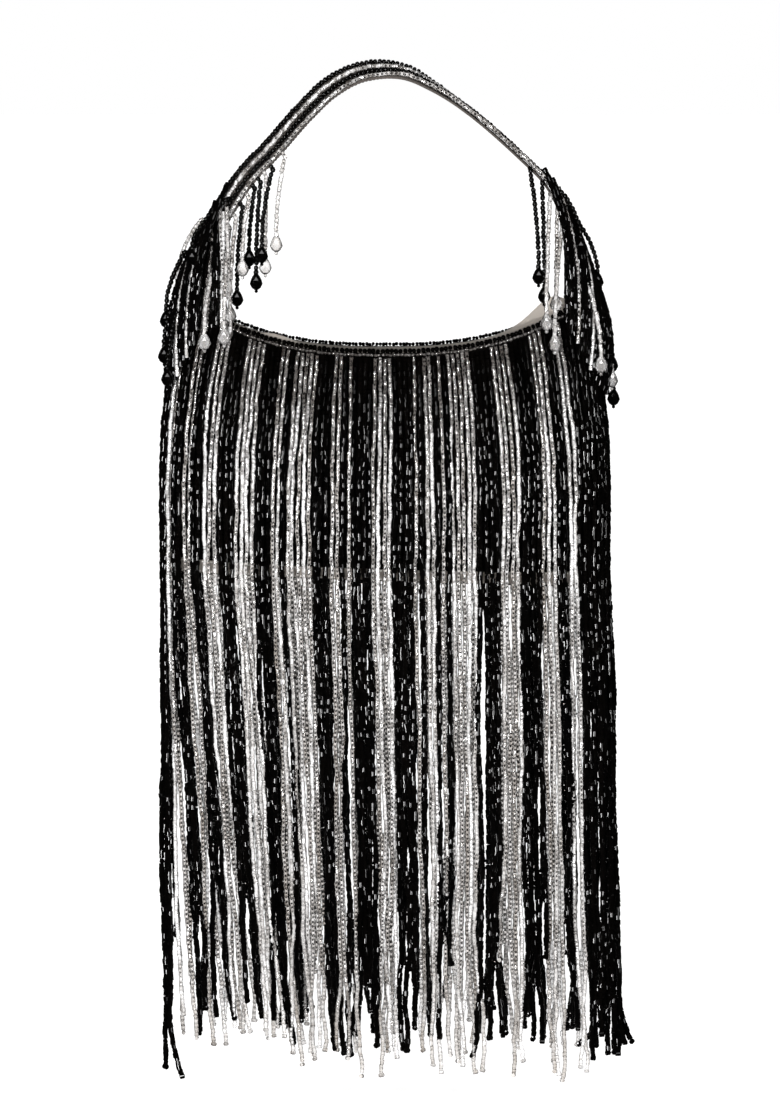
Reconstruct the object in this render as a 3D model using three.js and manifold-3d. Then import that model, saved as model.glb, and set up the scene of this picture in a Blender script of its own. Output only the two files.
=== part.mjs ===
// Beaded fringe handbag: a soft open pouch hung from a bead-covered strap. Bead rows edge the mouth,
// a long curtain of black and clear bead strings hangs all round, and short strings with a teardrop
// bead hang from the lower strap.
// Millimetres, +Z up, +X to the right of someone facing the bag, whose front faces -Y.
// The origin is the underside of the strap at its top, where the bag hangs.
import * as THREE from "three";
import { mergeVertices } from "three/addons/utils/BufferGeometryUtils.js";
import Module from "manifold-3d";

const wasm = await Module();
wasm.setup();

// Clearances and beads
const CLEARANCE = 0.35;
const BEAD_DIAMETER = 2.3;
const BEAD_RADIUS = BEAD_DIAMETER / 2;
const TUBE_SIDES = 6;

// Strap: a flat tape that shows its face on the left and, turned over the top, its edge on the right
const STRAP_WIDTH = 9.8;
const STRAP_THICKNESS = 1.0;
const STRAP_TWIST_LEFT_DEG = 15;
const STRAP_TWIST_RIGHT_DEG = 90;
const STRAP_TURN = { from: 0.38, to: 0.63 }; // shares of its length between which it turns
const STRAP_STEPS = 20;
const STRAP_ROW_PITCH = 2.45;
const STRAP_ROWS = ["black", "clear", "black", "clear"]; // from the outer edge inwards
const STRAP_COURSE = [
  { across: -87.6, up: -98.95 },
  { across: -87.0, up: -89.0 },
  { across: -81.8, up: -76.0 },
  { across: -71.6, up: -57.9 },
  { across: -61.6, up: -43.0 },
  { across: -51.4, up: -32.4 },
  { across: -36.2, up: -15.2 },
  { across: -24.5, up: -4.2 },
  { across: -13.0, up: 1.9 },
  { across: -2.0, up: 3.53 },
  { across: 9.0, up: 2.0 },
  { across: 20.7, up: -4.2 },
  { across: 40.2, up: -18.0 },
  { across: 60.2, up: -35.7 },
  { across: 70.9, up: -46.5 },
  { across: 77.0, up: -57.0 },
  { across: 81.8, up: -67.6 },
  { across: 86.0, up: -80.6 },
  { across: 88.0, up: -90.0 },
  { across: 88.2, up: -98.95 },
];

// Pouch: a superellipse in plan, with a rim that dips in the middle and a bottom that sags to +X
const PLAN_POWER = 2.6;
const PLAN_SIDES = 32;
const RIM_LOW = -121.5;
const RIM_RISE = 22.2;
const RIM_POWER = 2.6;
const POUCH_BOTTOM = -224.3;
const BOTTOM_SLOPE = 0.035;
const POUCH_WALL = 1.6;
const LINING_WALL = 0.8;
const LINING_EASE = 0.55;
const INNER_DOWN = [0, 0.22, 0.45, 0.65, 0.96]; // rows of the inner face, as shares of the way down
const LINING_INNER_DOWN = [0, 0.45, 0.96];
const FLOOR_DOWN = 0.985;
const LINING_BOTTOM_DOWN = 0.981;
const LINING_FLOOR_DOWN = 0.973;
const POUCH_FORM = [
  { down: 0.0, halfWidth: 88.0, halfDepth: 15.0 },
  { down: 0.1, halfWidth: 90.8, halfDepth: 17.0 },
  { down: 0.22, halfWidth: 93.6, halfDepth: 19.0 },
  { down: 0.45, halfWidth: 97.2, halfDepth: 21.3 },
  { down: 0.65, halfWidth: 98.3, halfDepth: 21.6 },
  { down: 0.85, halfWidth: 98.3, halfDepth: 19.6 },
  { down: 0.94, halfWidth: 97.5, halfDepth: 17.1 },
  { down: 1.0, halfWidth: 95.6, halfDepth: 14.0 },
];
const HEM_DOWN = [0.942, 0.995];
const HEM_THICKNESS = 0.8;

// Bead rows on the mouth: distance of the row's centre from the wall's outer face and above the rim
const RIM_ROW_END_DEG = 74;
const RIM_ROW_STEPS = 14;
const RIM_ROWS = [
  { colour: "black", outwards: -POUCH_WALL / 2, above: CLEARANCE + BEAD_RADIUS },
  { colour: "clear", outwards: CLEARANCE + BEAD_RADIUS, above: -0.9 },
];

// Fringe: the number of strings in each stripe, black first, then clear and black by turns, from the
// front's left. Each stripe of the back hangs behind the same stripe of the front.
const STRIPES = [
  3, 2, 2, 2, 2, 3, 3, 4, 3, 2, 1, 5, 3, 2, 1, 1, 4, 4, 4, 1, 1, 2, 1, 1, 1, 5, 4, 4, 4, 3, 2, 2, 9,
];
const FRINGE_END_DEG = 89.3;
const LOCK_THICKNESS = 2.4;
const LOCK_SIDE_GAP = 0.09; // share of one string left free at each side of a lock
const LOCK_STAND_OFF = 0.6;
const LOCK_COLUMN_STRINGS = 4; // strings to one flat of a lock
const END_LOCK_COLUMN_STRINGS = 2; // the same for the first and last stripe, round the bag's ends
const LOCK_DOWN = [0.1, 0.22, 0.45, 0.65];
const CURTAIN_TOP = -220; // height where the strings leave the pouch
const CURTAIN_LENGTH = 210;
// How far the strings' ends hang over to +X, by their place across the bag's widest plan
const CURTAIN_LEAN = [
  { across: -98.3, lean: 0.6 },
  { across: -94.8, lean: 8.0 },
  { across: -87.2, lean: 13.2 },
  { across: -78.4, lean: 14.2 },
  { across: -63.8, lean: 12.0 },
  { across: -42.0, lean: 7.6 },
  { across: -23.0, lean: 4.2 },
  { across: -2.7, lean: 3.8 },
  { across: 15.7, lean: 2.8 },
  { across: 35.0, lean: 1.6 },
  { across: 55.3, lean: 1.8 },
  { across: 71.8, lean: 4.6 },
  { across: 82.9, lean: 5.6 },
  { across: 98.3, lean: 6.0 },
];
const HEAD_COLUMNS = 20;
const HEADS = {
  black: { below: 2.7, tall: 2.4, inner: 0.4, outer: 3.3, start: 4.0, over: 1.95, end: -431 },
  clear: { below: 5.7, tall: 2.4, inner: 0.4, outer: 1.6, start: 6.9, over: 0.6, end: -440 },
};
const END_SPREAD = 7;
const LEFT_CORNER_DROP = 16;
const LEFT_CORNER_STRIPES = 3;

// Drops: a bead string with a teardrop bead. anchorUp is the height on the strap where it hangs,
// place the side of the strap, sideways the distance from the middle of its face where it isn't there,
// and across, depth and up the middle of the teardrop.
const TEARDROP = { halfWidth: 2.6, low: -3.4, lowRim: -2.9, waist: -1.0, neck: 2.8 };
const TEARDROP_LOW_RADIUS = 1.56;
const TEARDROP_NECK_RADIUS = 0.92;
const TEARDROP_SIDES = 8;
const STRING_STEPS = 2;
const STRING_BEND = 0.45; // where a drop's string turns down, as a share of its height from the teardrop
const EDGE_GAP = 0.4; // between the tape's edge and a string that hangs from it
const FACE_GAP = 0.15; // between the strap's bead rows and a string that hangs from them
const DROPS = {
  left: [
    { colour: "clear", place: "inner", anchorUp: -30.0, across: -48.6, depth: -1.0, up: -73.5 },
    { colour: "black", place: "inner", anchorUp: -35.5, across: -55.0, depth: -5.5, up: -78.0 },
    { colour: "clear", place: "inner", anchorUp: -38.5, across: -53.6, depth: 3.5, up: -84.0 },
    { colour: "black", place: "inner", anchorUp: -41.5, across: -57.6, depth: -1.2, up: -90.5 },
    { colour: "black", place: "inner", anchorUp: -44.9, across: -60.8, depth: 4.2, up: -80.5 },
    { colour: "clear", place: "inner", anchorUp: -49.0, across: -63.6, depth: -6.0, up: -84.0 },
    { colour: "black", place: "inner", anchorUp: -53.5, across: -66.2, depth: -0.6, up: -98.0 },
    { colour: "clear", place: "inner", anchorUp: -58.4, across: -69.0, depth: -13.0, up: -104.0 },
    { colour: "clear", place: "inner", anchorUp: -63.0, across: -71.6, depth: -21.0, up: -113.0 },
    { colour: "clear", place: "inner", anchorUp: -71.0, across: -80.4, depth: -19.0, up: -115.5 },
    { colour: "black", place: "face", anchorUp: -54.0, across: -86.0, depth: -9.5, up: -79.0 },
    { colour: "clear", place: "outer", anchorUp: -66.0, across: -91.6, depth: 6.2, up: -88.5 },
    { colour: "black", place: "outer", anchorUp: -80.0, across: -98.2, depth: 3.5, up: -108.0 },
    { colour: "black", place: "face", anchorUp: -84.0, across: -98.6, depth: -10.0, up: -122.5 },
    { colour: "black", place: "face", anchorUp: -92.0, across: -97.0, depth: -16.5, up: -132.0 },
  ],
  right: [
    { colour: "black", place: "inner", anchorUp: -40.0, across: 68.6, depth: -6.5, up: -87.5 },
    { colour: "black", place: "inner", anchorUp: -45.5, across: 71.0, depth: -11.5, up: -95.5 },
    { colour: "clear", place: "inner", anchorUp: -57.0, across: 76.4, depth: -8.0, up: -99.5 },
    { colour: "clear", place: "inner", anchorUp: -51.0, across: 72.0, depth: -17.0, up: -107.0 },
    { colour: "clear", place: "inner", anchorUp: -62.0, across: 75.6, depth: -21.5, up: -116.0 },
    { colour: "black", place: "face", sideways: -3.6, anchorUp: -52.0, across: 87.3, depth: -8.8, up: -74.0 },
    { colour: "black", place: "face", anchorUp: -63.5, across: 95.0, depth: -1.5, up: -90.0 },
    { colour: "clear", place: "inner", anchorUp: -79.0, across: 96.3, depth: -17.0, up: -126.0 },
    { colour: "black", place: "outer", anchorUp: -86.0, across: 102.0, depth: 7.6, up: -128.5 },
    { colour: "clear", place: "inner", anchorUp: -93.0, across: 101.4, depth: -8.5, up: -133.5 },
    { colour: "black", place: "face", sideways: 3.2, anchorUp: -78.0, across: 102.6, depth: 3.0, up: -143.0 },
  ],
};

const FINISHES = {
  black: new THREE.MeshStandardMaterial({ name: "black_beads", color: 0x0b0b0d, roughness: 0.12 }),
  clear: new THREE.MeshStandardMaterial({ name: "clear_beads", color: 0xe2e5e8, roughness: 0.08 }),
  cloth: new THREE.MeshStandardMaterial({ name: "black_cloth", color: 0x17130f, roughness: 0.7 }),
  lining: new THREE.MeshStandardMaterial({ name: "satin_lining", color: 0x6e6358, roughness: 0.4 }),
  hem: new THREE.MeshStandardMaterial({ name: "hem_tape", color: 0x5a534c, roughness: 0.6 }),
  tape: new THREE.MeshStandardMaterial({ name: "strap_tape", color: 0x1c1a18, roughness: 0.75 }),
};

const radians = THREE.MathUtils.degToRad;
const mix = THREE.MathUtils.lerp;

// A repeatable number from 0 to 1 for a whole number
function scatter(index) {
  const wave = Math.sin(index * 12.9898 + 4.137) * 43758.5453;
  return wave - Math.floor(wave);
}

// Half width and half depth of the pouch at a share of the way down from rim to bottom
function formAt(down) {
  const last = POUCH_FORM.length - 1;
  const row = POUCH_FORM.findIndex((entry, index) => index === last || POUCH_FORM[index + 1].down >= down);
  const upper = POUCH_FORM[Math.min(row, last - 1)];
  const lower = POUCH_FORM[Math.min(row, last - 1) + 1];
  const share = (down - upper.down) / (lower.down - upper.down);
  return {
    halfWidth: mix(upper.halfWidth, lower.halfWidth, share),
    halfDepth: mix(upper.halfDepth, lower.halfDepth, share),
  };
}

// The curtain follows the pouch down to its widest place and then hangs straight
const WIDEST = {
  halfWidth: Math.max(...POUCH_FORM.map((row) => row.halfWidth)),
  halfDepth: Math.max(...POUCH_FORM.map((row) => row.halfDepth)),
};

// A point of the plan outline, moved out along the outline's normal. Angle 0 is the front middle.
function planPoint(form, angle, outwards) {
  const s = Math.sin(angle);
  const c = -Math.cos(angle);
  const curve = 2 / PLAN_POWER;
  const normal = new THREE.Vector2(
    (Math.sign(s) * Math.abs(s) ** (2 - curve)) / form.halfWidth,
    (Math.sign(c) * Math.abs(c) ** (2 - curve)) / form.halfDepth,
  ).normalize();
  return new THREE.Vector2(
    form.halfWidth * Math.sign(s) * Math.abs(s) ** curve + normal.x * outwards,
    form.halfDepth * Math.sign(c) * Math.abs(c) ** curve + normal.y * outwards,
  );
}

function rimHeight(angle) {
  const across = planPoint(POUCH_FORM[0], angle, 0).x / POUCH_FORM[0].halfWidth;
  return RIM_LOW + RIM_RISE * Math.abs(across) ** RIM_POWER;
}

function bottomHeight(across) {
  return POUCH_BOTTOM - BOTTOM_SLOPE * across;
}

// A point at a share of the way down the pouch wall, moved out from its outer face
function wallPoint(down, angle, outwards) {
  const flat = planPoint(formAt(down), angle, outwards);
  return new THREE.Vector3(flat.x, flat.y, mix(rimHeight(angle), bottomHeight(flat.x), down));
}

// A point a few millimetres below the rim on the pouch wall
function underRim(below, angle, outwards) {
  const tall = rimHeight(angle) - POUCH_BOTTOM;
  const flat = planPoint(formAt(Math.max(below, 0) / tall), angle, outwards);
  return new THREE.Vector3(flat.x, flat.y, rimHeight(angle) - below);
}

// How far a string's end hangs over to +X
function leanAt(angle) {
  const across = planPoint(WIDEST, angle, 0).x;
  const next = CURTAIN_LEAN.findIndex((row) => row.across >= across);
  if (next <= 0) {
    return CURTAIN_LEAN[next === 0 ? 0 : CURTAIN_LEAN.length - 1].lean;
  }
  const [low, high] = [CURTAIN_LEAN[next - 1], CURTAIN_LEAN[next]];
  return mix(low.lean, high.lean, (across - low.across) / (high.across - low.across));
}

// A point of the free curtain below the pouch's widest place
function curtainPoint(height, angle, outwards) {
  const flat = planPoint(WIDEST, angle, outwards);
  const share = Math.max((CURTAIN_TOP - height) / CURTAIN_LENGTH, 0);
  return new THREE.Vector3(flat.x + leanAt(angle) * share, flat.y, height);
}

// Positions only, shared corners merged, needle faces dropped and faces turned outwards
function closed(source) {
  const bare = new THREE.BufferGeometry();
  bare.setAttribute("position", source.getAttribute("position").clone());
  if (source.index) {
    bare.setIndex(source.index.clone());
  }
  const merged = mergeVertices(bare, 1e-4);
  const place = merged.getAttribute("position");
  const corners = merged.index.array;
  const kept = [];
  const a = new THREE.Vector3();
  const b = new THREE.Vector3();
  const c = new THREE.Vector3();
  let volume = 0;
  for (let face = 0; face < corners.length; face += 3) {
    const [i, j, k] = corners.slice(face, face + 3);
    if (i === j || j === k || k === i) {
      continue;
    }
    kept.push([i, j, k]);
    a.fromBufferAttribute(place, i);
    b.fromBufferAttribute(place, j);
    c.fromBufferAttribute(place, k);
    volume += a.dot(b.cross(c));
  }
  merged.setIndex(kept.flatMap(([i, j, k]) => (volume < 0 ? [i, k, j] : [i, j, k])));
  return merged;
}

function fromPoints(points, faces) {
  const shape = new THREE.BufferGeometry().setFromPoints(points);
  shape.setIndex(faces.flat());
  return closed(shape);
}

// A solid between two grids of points with the same rows and columns. Wrapped grids close on themselves.
function slab(outer, inner, wrapped = false) {
  const rows = outer.length;
  const columns = outer[0].length;
  const points = [...outer.flat(), ...inner.flat()];
  const at = (side, row, column) => side * rows * columns + row * columns + (column % columns);
  const faces = [];
  const quad = (a, b, c, d) => faces.push([a, b, c], [a, c, d]);
  const lastColumn = wrapped ? columns : columns - 1;
  for (let column = 0; column < lastColumn; column++) {
    for (let row = 0; row < rows - 1; row++) {
      quad(at(0, row, column), at(0, row + 1, column), at(0, row + 1, column + 1), at(0, row, column + 1));
      quad(at(1, row, column), at(1, row, column + 1), at(1, row + 1, column + 1), at(1, row + 1, column));
    }
    const low = rows - 1;
    quad(at(0, 0, column), at(0, 0, column + 1), at(1, 0, column + 1), at(1, 0, column));
    quad(at(0, low, column + 1), at(0, low, column), at(1, low, column), at(1, low, column + 1));
  }
  if (!wrapped) {
    const end = columns - 1;
    for (let row = 0; row < rows - 1; row++) {
      quad(at(0, row + 1, 0), at(0, row, 0), at(1, row, 0), at(1, row + 1, 0));
      quad(at(0, row, end), at(0, row + 1, end), at(1, row + 1, end), at(1, row, end));
    }
  }
  return fromPoints(points, faces);
}

// A cup lofted through rings, from the middle of its underside up, over the rim and down to its floor
function cup(rings) {
  const sides = rings[0].length;
  const middle = (ring) => ring.reduce((sum, p) => sum.add(p), new THREE.Vector3()).divideScalar(sides);
  const points = [...rings.flat(), middle(rings[0]), middle(rings[rings.length - 1])];
  const faces = [];
  const last = rings.length - 1;
  const base = rings.length * sides;
  for (let side = 0; side < sides; side++) {
    const next = (side + 1) % sides;
    for (let ring = 0; ring < last; ring++) {
      const low = ring * sides;
      const high = low + sides;
      faces.push([low + side, low + next, high + next], [low + side, high + next, high + side]);
    }
    faces.push([base, next, side], [base + 1, last * sides + side, last * sides + next]);
  }
  return fromPoints(points, faces);
}

// A closed tube of even thickness along a curve
function tube(curve, steps, radius) {
  const section = new THREE.Shape();
  for (let side = 0; side < TUBE_SIDES; side++) {
    const turn = ((side + 0.5) / TUBE_SIDES) * 2 * Math.PI;
    const [x, y] = [radius * Math.cos(turn), radius * Math.sin(turn)];
    if (side === 0) {
      section.moveTo(x, y);
    } else {
      section.lineTo(x, y);
    }
  }
  section.closePath();
  return closed(new THREE.ExtrudeGeometry(section, { steps, extrudePath: curve, curveSegments: 1 }));
}

function solidOf(shape) {
  return new wasm.Manifold(
    new wasm.Mesh({
      numProp: 3,
      vertProperties: new Float32Array(shape.getAttribute("position").array),
      triVerts: new Uint32Array(shape.index.array),
    }),
  );
}

// Several overlapping closed shapes joined into one
function fused(shapes) {
  const whole = shapes.map(solidOf).reduce((sum, next) => sum.add(next));
  const mesh = whole.getMesh();
  const shape = new THREE.BufferGeometry();
  shape.setAttribute("position", new THREE.BufferAttribute(new Float32Array(mesh.vertProperties), 3));
  shape.setIndex(Array.from(mesh.triVerts));
  return closed(shape);
}

function named(name, shape, finish) {
  const mesh = new THREE.Mesh(shape, finish);
  mesh.name = name;
  return mesh;
}

// Pouch, lining and hem
const ringAngles = Array.from({ length: PLAN_SIDES }, (_, side) => (side / PLAN_SIDES) * 2 * Math.PI);

function wallRing(down, outwards) {
  return ringAngles.map((angle) => wallPoint(down, angle, outwards));
}

function hollowCup(outerOffset, wall, outerDown, innerDown) {
  const outside = [...outerDown].reverse();
  return cup([
    ...outside.map((down) => wallRing(down, outerOffset)),
    ...innerDown.map((down) => wallRing(down, outerOffset - wall)),
  ]);
}

function makePouch() {
  const group = new THREE.Group();
  const liningOffset = -(POUCH_WALL + LINING_EASE);
  const pouchDown = POUCH_FORM.map((row) => row.down);
  const liningDown = [...INNER_DOWN, LINING_BOTTOM_DOWN];
  const liningInner = [...LINING_INNER_DOWN, LINING_FLOOR_DOWN];
  const hemRows = (outwards) => HEM_DOWN.map((down) => wallRing(down, outwards));
  group.add(
    named("pouch", hollowCup(0, POUCH_WALL, pouchDown, [...INNER_DOWN, FLOOR_DOWN]), FINISHES.cloth),
    named("lining", hollowCup(liningOffset, LINING_WALL, liningDown, liningInner), FINISHES.lining),
    named("hem_band", slab(hemRows(CLEARANCE + HEM_THICKNESS), hemRows(CLEARANCE), true), FINISHES.hem),
  );
  return group;
}

// Bead rows round the mouth, one along the front half and one along the back half of each colour
class RimCurve extends THREE.Curve {
  constructor(row, facing) {
    super();
    this.row = row;
    this.facing = facing;
  }
  getPoint(share, target = new THREE.Vector3()) {
    const angle = this.facing + radians(mix(-RIM_ROW_END_DEG, RIM_ROW_END_DEG, share));
    const flat = planPoint(POUCH_FORM[0], angle, this.row.outwards);
    return target.set(flat.x, flat.y, rimHeight(angle) + this.row.above);
  }
  getPointAt(share, target) {
    return this.getPoint(share, target);
  }
  getTangentAt(share, target) {
    return this.getTangent(share, target);
  }
}

function makeRimRows() {
  const group = new THREE.Group();
  for (const [side, facing] of [["front", 0], ["back", Math.PI]]) {
    for (const row of RIM_ROWS) {
      const shape = tube(new RimCurve(row, facing), RIM_ROW_STEPS, BEAD_RADIUS);
      group.add(named(`rim_${side}_${row.colour}`, shape, FINISHES[row.colour]));
    }
  }
  return group;
}

// Strap: the local directions at a share of its course are along, outwards, face and breadth
const strapCurve = new THREE.CatmullRomCurve3(
  STRAP_COURSE.map((row) => new THREE.Vector3(row.across, 0, row.up)),
);

function strapFrame(share) {
  const centre = strapCurve.getPointAt(share);
  const along = strapCurve.getTangentAt(share);
  const turned = THREE.MathUtils.smoothstep(share, STRAP_TURN.from, STRAP_TURN.to);
  const twist = radians(mix(STRAP_TWIST_LEFT_DEG, STRAP_TWIST_RIGHT_DEG, turned));
  const [outX, outZ] = [-along.z, along.x];
  const face = new THREE.Vector3(outX * Math.sin(twist), -Math.cos(twist), outZ * Math.sin(twist));
  const breadth = new THREE.Vector3(outX * Math.cos(twist), Math.sin(twist), outZ * Math.cos(twist));
  return { centre, face, breadth };
}

function onStrap(share, sideways, outOfFace) {
  const { centre, face, breadth } = strapFrame(share);
  return centre.clone().addScaledVector(breadth, sideways).addScaledVector(face, outOfFace);
}

const strapShares = Array.from({ length: STRAP_STEPS + 1 }, (_, step) => step / STRAP_STEPS);

function makeHandle() {
  const group = new THREE.Group();
  const half = STRAP_WIDTH / 2;
  const sheet = (outOfFace) =>
    [-half, half].map((sideways) => strapShares.map((share) => onStrap(share, sideways, outOfFace)));
  const tape = slab(sheet(-STRAP_THICKNESS / 2), sheet(STRAP_THICKNESS / 2));
  group.add(named("handle_tape", tape, FINISHES.tape));
  const lift = STRAP_THICKNESS / 2 + CLEARANCE + BEAD_RADIUS;
  STRAP_ROWS.forEach((colour, row) => {
    const sideways = ((STRAP_ROWS.length - 1) / 2 - row) * STRAP_ROW_PITCH;
    const course = new THREE.CatmullRomCurve3(strapShares.map((share) => onStrap(share, sideways, lift)));
    group.add(named(`handle_row_${row + 1}`, tube(course, STRAP_STEPS, BEAD_RADIUS), FINISHES[colour]));
  });
  return group;
}

// Fringe: angles that divide the curtain's front half into equal strings
const stringCount = STRIPES.reduce((sum, strings) => sum + strings, 0);
const arcSamples = 720;
const arcTable = [{ angle: -radians(FRINGE_END_DEG), length: 0 }];
for (let sample = 1; sample <= arcSamples; sample++) {
  const angle = radians(mix(-FRINGE_END_DEG, FRINGE_END_DEG, sample / arcSamples));
  const before = arcTable[sample - 1];
  const here = planPoint(WIDEST, angle, LOCK_STAND_OFF + LOCK_THICKNESS / 2);
  const there = planPoint(WIDEST, before.angle, LOCK_STAND_OFF + LOCK_THICKNESS / 2);
  arcTable.push({ angle, length: before.length + here.distanceTo(there) });
}

function stringAngle(string) {
  const wanted = (string / stringCount) * arcTable[arcSamples].length;
  const next = Math.max(1, arcTable.findIndex((row) => row.length >= wanted - 1e-9));
  const [low, high] = [arcTable[next - 1], arcTable[next]];
  return mix(low.angle, high.angle, (wanted - low.length) / (high.length - low.length));
}

function lock(stripe, firstString, strings, head, facing, seed) {
  const atEnd = stripe === 0 || stripe === STRIPES.length - 1;
  const columns = Math.ceil(strings / (atEnd ? END_LOCK_COLUMN_STRINGS : LOCK_COLUMN_STRINGS));
  const start = firstString + LOCK_SIDE_GAP;
  const end = firstString + strings - LOCK_SIDE_GAP;
  const angles = Array.from({ length: columns + 1 }, (_, column) =>
    facing + stringAngle(mix(start, end, column / columns)),
  );
  const corner = facing === 0 && stripe < LEFT_CORNER_STRIPES ? LEFT_CORNER_DROP : 0;
  const grid = (outwards) => {
    const over = head.over + outwards;
    const free = LOCK_STAND_OFF + outwards;
    const rows = [angles.map((angle) => underRim(head.start, angle, over))];
    LOCK_DOWN.forEach((down, row) => {
      rows.push(angles.map((angle) => wallPoint(down, angle, row === 0 ? over : free)));
    });
    rows.push(
      angles.map((angle, column) => {
        const drop = END_SPREAD * (scatter(seed + stripe * 7 + column) - 0.5) * 2 + corner;
        return curtainPoint(head.end - drop, angle, free);
      }),
    );
    return rows;
  };
  return slab(grid(LOCK_THICKNESS), grid(0));
}

function fringe(colour, facing, seed) {
  const head = HEADS[colour];
  const angles = Array.from({ length: HEAD_COLUMNS + 1 }, (_, column) =>
    facing + radians(mix(-FRINGE_END_DEG, FRINGE_END_DEG, column / HEAD_COLUMNS)),
  );
  const edges = [head.below, head.below + head.tall];
  const band = (outwards) =>
    edges.map((below) => angles.map((angle) => underRim(below, angle, outwards)));
  const shapes = [slab(band(head.outer), band(head.inner))];
  const stripes = facing === 0 ? STRIPES : [...STRIPES].reverse();
  let firstString = 0;
  stripes.forEach((strings, stripe) => {
    const stripeColour = stripe % 2 === 0 ? "black" : "clear";
    if (stripeColour === colour) {
      shapes.push(lock(stripe, firstString, strings, head, facing, seed));
    }
    firstString += strings;
  });
  return fused(shapes);
}

function makeFringe() {
  const group = new THREE.Group();
  for (const [side, facing, seed] of [["front", 0, 11], ["back", Math.PI, 503]]) {
    for (const colour of ["black", "clear"]) {
      group.add(named(`fringe_${side}_${colour}`, fringe(colour, facing, seed), FINISHES[colour]));
    }
  }
  return group;
}

// Drops
function strapShareAt(side, up) {
  const samples = 400;
  for (let sample = 0; sample <= samples; sample++) {
    const share = side === "left" ? (0.5 * sample) / samples : 1 - (0.5 * sample) / samples;
    if (strapCurve.getPointAt(share).z >= up) {
      return share;
    }
  }
  throw new Error("no place on the strap at height " + up);
}

function anchorPoint(side, row) {
  const share = strapShareAt(side, row.anchorUp);
  const edge = STRAP_WIDTH / 2 + EDGE_GAP + BEAD_RADIUS;
  const beads = STRAP_THICKNESS / 2 + CLEARANCE + BEAD_DIAMETER;
  if (row.place === "inner") {
    return onStrap(share, -edge, 0);
  }
  if (row.place === "outer") {
    return onStrap(share, edge, 0);
  }
  return onStrap(share, row.sideways ?? 0, beads + FACE_GAP + BEAD_RADIUS);
}

function drop(side, row) {
  const top = anchorPoint(side, row);
  const middle = new THREE.Vector3(row.across, row.depth, row.up);
  const end = middle.clone().add(new THREE.Vector3(0, 0, TEARDROP.neck / 2));
  const bend = new THREE.Vector3(row.across, row.depth, mix(end.z, top.z, STRING_BEND));
  const string = tube(new THREE.QuadraticBezierCurve3(top, bend, end), STRING_STEPS, BEAD_RADIUS);
  const profile = [
    new THREE.Vector2(0, TEARDROP.low),
    new THREE.Vector2(TEARDROP_LOW_RADIUS, TEARDROP.lowRim),
    new THREE.Vector2(TEARDROP.halfWidth, TEARDROP.waist),
    new THREE.Vector2(TEARDROP_NECK_RADIUS, TEARDROP.neck),
    new THREE.Vector2(0, TEARDROP.neck),
  ];
  const bead = closed(new THREE.LatheGeometry(profile, TEARDROP_SIDES).rotateX(Math.PI / 2));
  bead.translate(middle.x, middle.y, middle.z);
  return fused([string, bead]);
}

function makeDrops() {
  const group = new THREE.Group();
  for (const [side, rows] of Object.entries(DROPS)) {
    rows.forEach((row, index) => {
      group.add(named(`drop_${side}_${index + 1}`, drop(side, row), FINISHES[row.colour]));
    });
  }
  return group;
}

const handbag = new THREE.Group();
handbag.name = "beaded_fringe_handbag";
handbag.add(makePouch(), makeRimRows(), makeHandle(), makeFringe(), makeDrops());

export default handbag;
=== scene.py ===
"""Looks of a beaded fringe handbag, built round its solids.

A cloth pouch with a satin lining hangs from a strap that is covered with rows of seed beads. A curtain of
black and clear bead strings hangs all round it, and short strings with a teardrop bead hang from the strap.
Metres, +Z up, the front faces -Y. The origin is the underside of the strap at its top.
"""
import logging
import math
import random
from abc import ABC, abstractmethod
from bisect import bisect_right
from collections.abc import Callable, Iterable, Sequence
from dataclasses import dataclass, field, replace
from enum import Enum
from functools import cache

import bmesh
import bpy
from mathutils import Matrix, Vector, noise


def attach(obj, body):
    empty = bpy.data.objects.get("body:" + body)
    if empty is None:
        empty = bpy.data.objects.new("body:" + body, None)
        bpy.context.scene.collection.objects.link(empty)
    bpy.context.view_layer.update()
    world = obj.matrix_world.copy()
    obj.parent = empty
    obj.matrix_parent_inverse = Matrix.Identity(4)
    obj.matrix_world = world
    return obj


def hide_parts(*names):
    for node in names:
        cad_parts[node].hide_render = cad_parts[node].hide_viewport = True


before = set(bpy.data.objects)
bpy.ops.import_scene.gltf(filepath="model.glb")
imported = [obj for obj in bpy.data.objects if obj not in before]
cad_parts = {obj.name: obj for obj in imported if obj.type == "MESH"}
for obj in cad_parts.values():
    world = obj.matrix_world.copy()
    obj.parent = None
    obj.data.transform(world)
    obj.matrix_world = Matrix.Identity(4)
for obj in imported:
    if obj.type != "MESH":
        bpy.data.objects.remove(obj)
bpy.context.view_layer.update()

BODY = "root"
LOG = logging.getLogger("fringe_handbag")

Rgb = tuple[float, float, float]
Span = tuple[float, float]
Ring = list[Vector]
Socket = bpy.types.NodeSocket


class Colour(Enum):
    """The two colours of the beads."""

    BLACK = "black"
    CLEAR = "clear"


class Side(Enum):
    """The two broad sides of the bag."""

    FRONT = "front"
    BACK = "back"

    @property
    def facing(self) -> float:
        """Plan angle of the side's middle."""
        return 0.0 if self is Side.FRONT else math.pi

    @property
    def forward(self) -> float:
        """Which way along Y the side faces."""
        return -1.0 if self is Side.FRONT else 1.0


class Place(Enum):
    """Where on the strap a drop hangs."""

    INNER = "inner"
    OUTER = "outer"
    FACE = "face"


def mix(low: float, high: float, share: float) -> float:
    """The value a share of the way from low to high."""
    return low + (high - low) * share


def clamp(value: float, low: float = 0.0, high: float = 1.0) -> float:
    """The value held between low and high."""
    return min(max(value, low), high)


def ease(share: float) -> float:
    """A share that starts and ends softly."""
    held = clamp(share)
    return held * held * (3.0 - 2.0 * held)


def ripple(across: float, along: float, layer: float) -> float:
    """Smooth repeatable noise from about -1 to 1."""
    return noise.noise(Vector((across, along, layer)))


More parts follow.
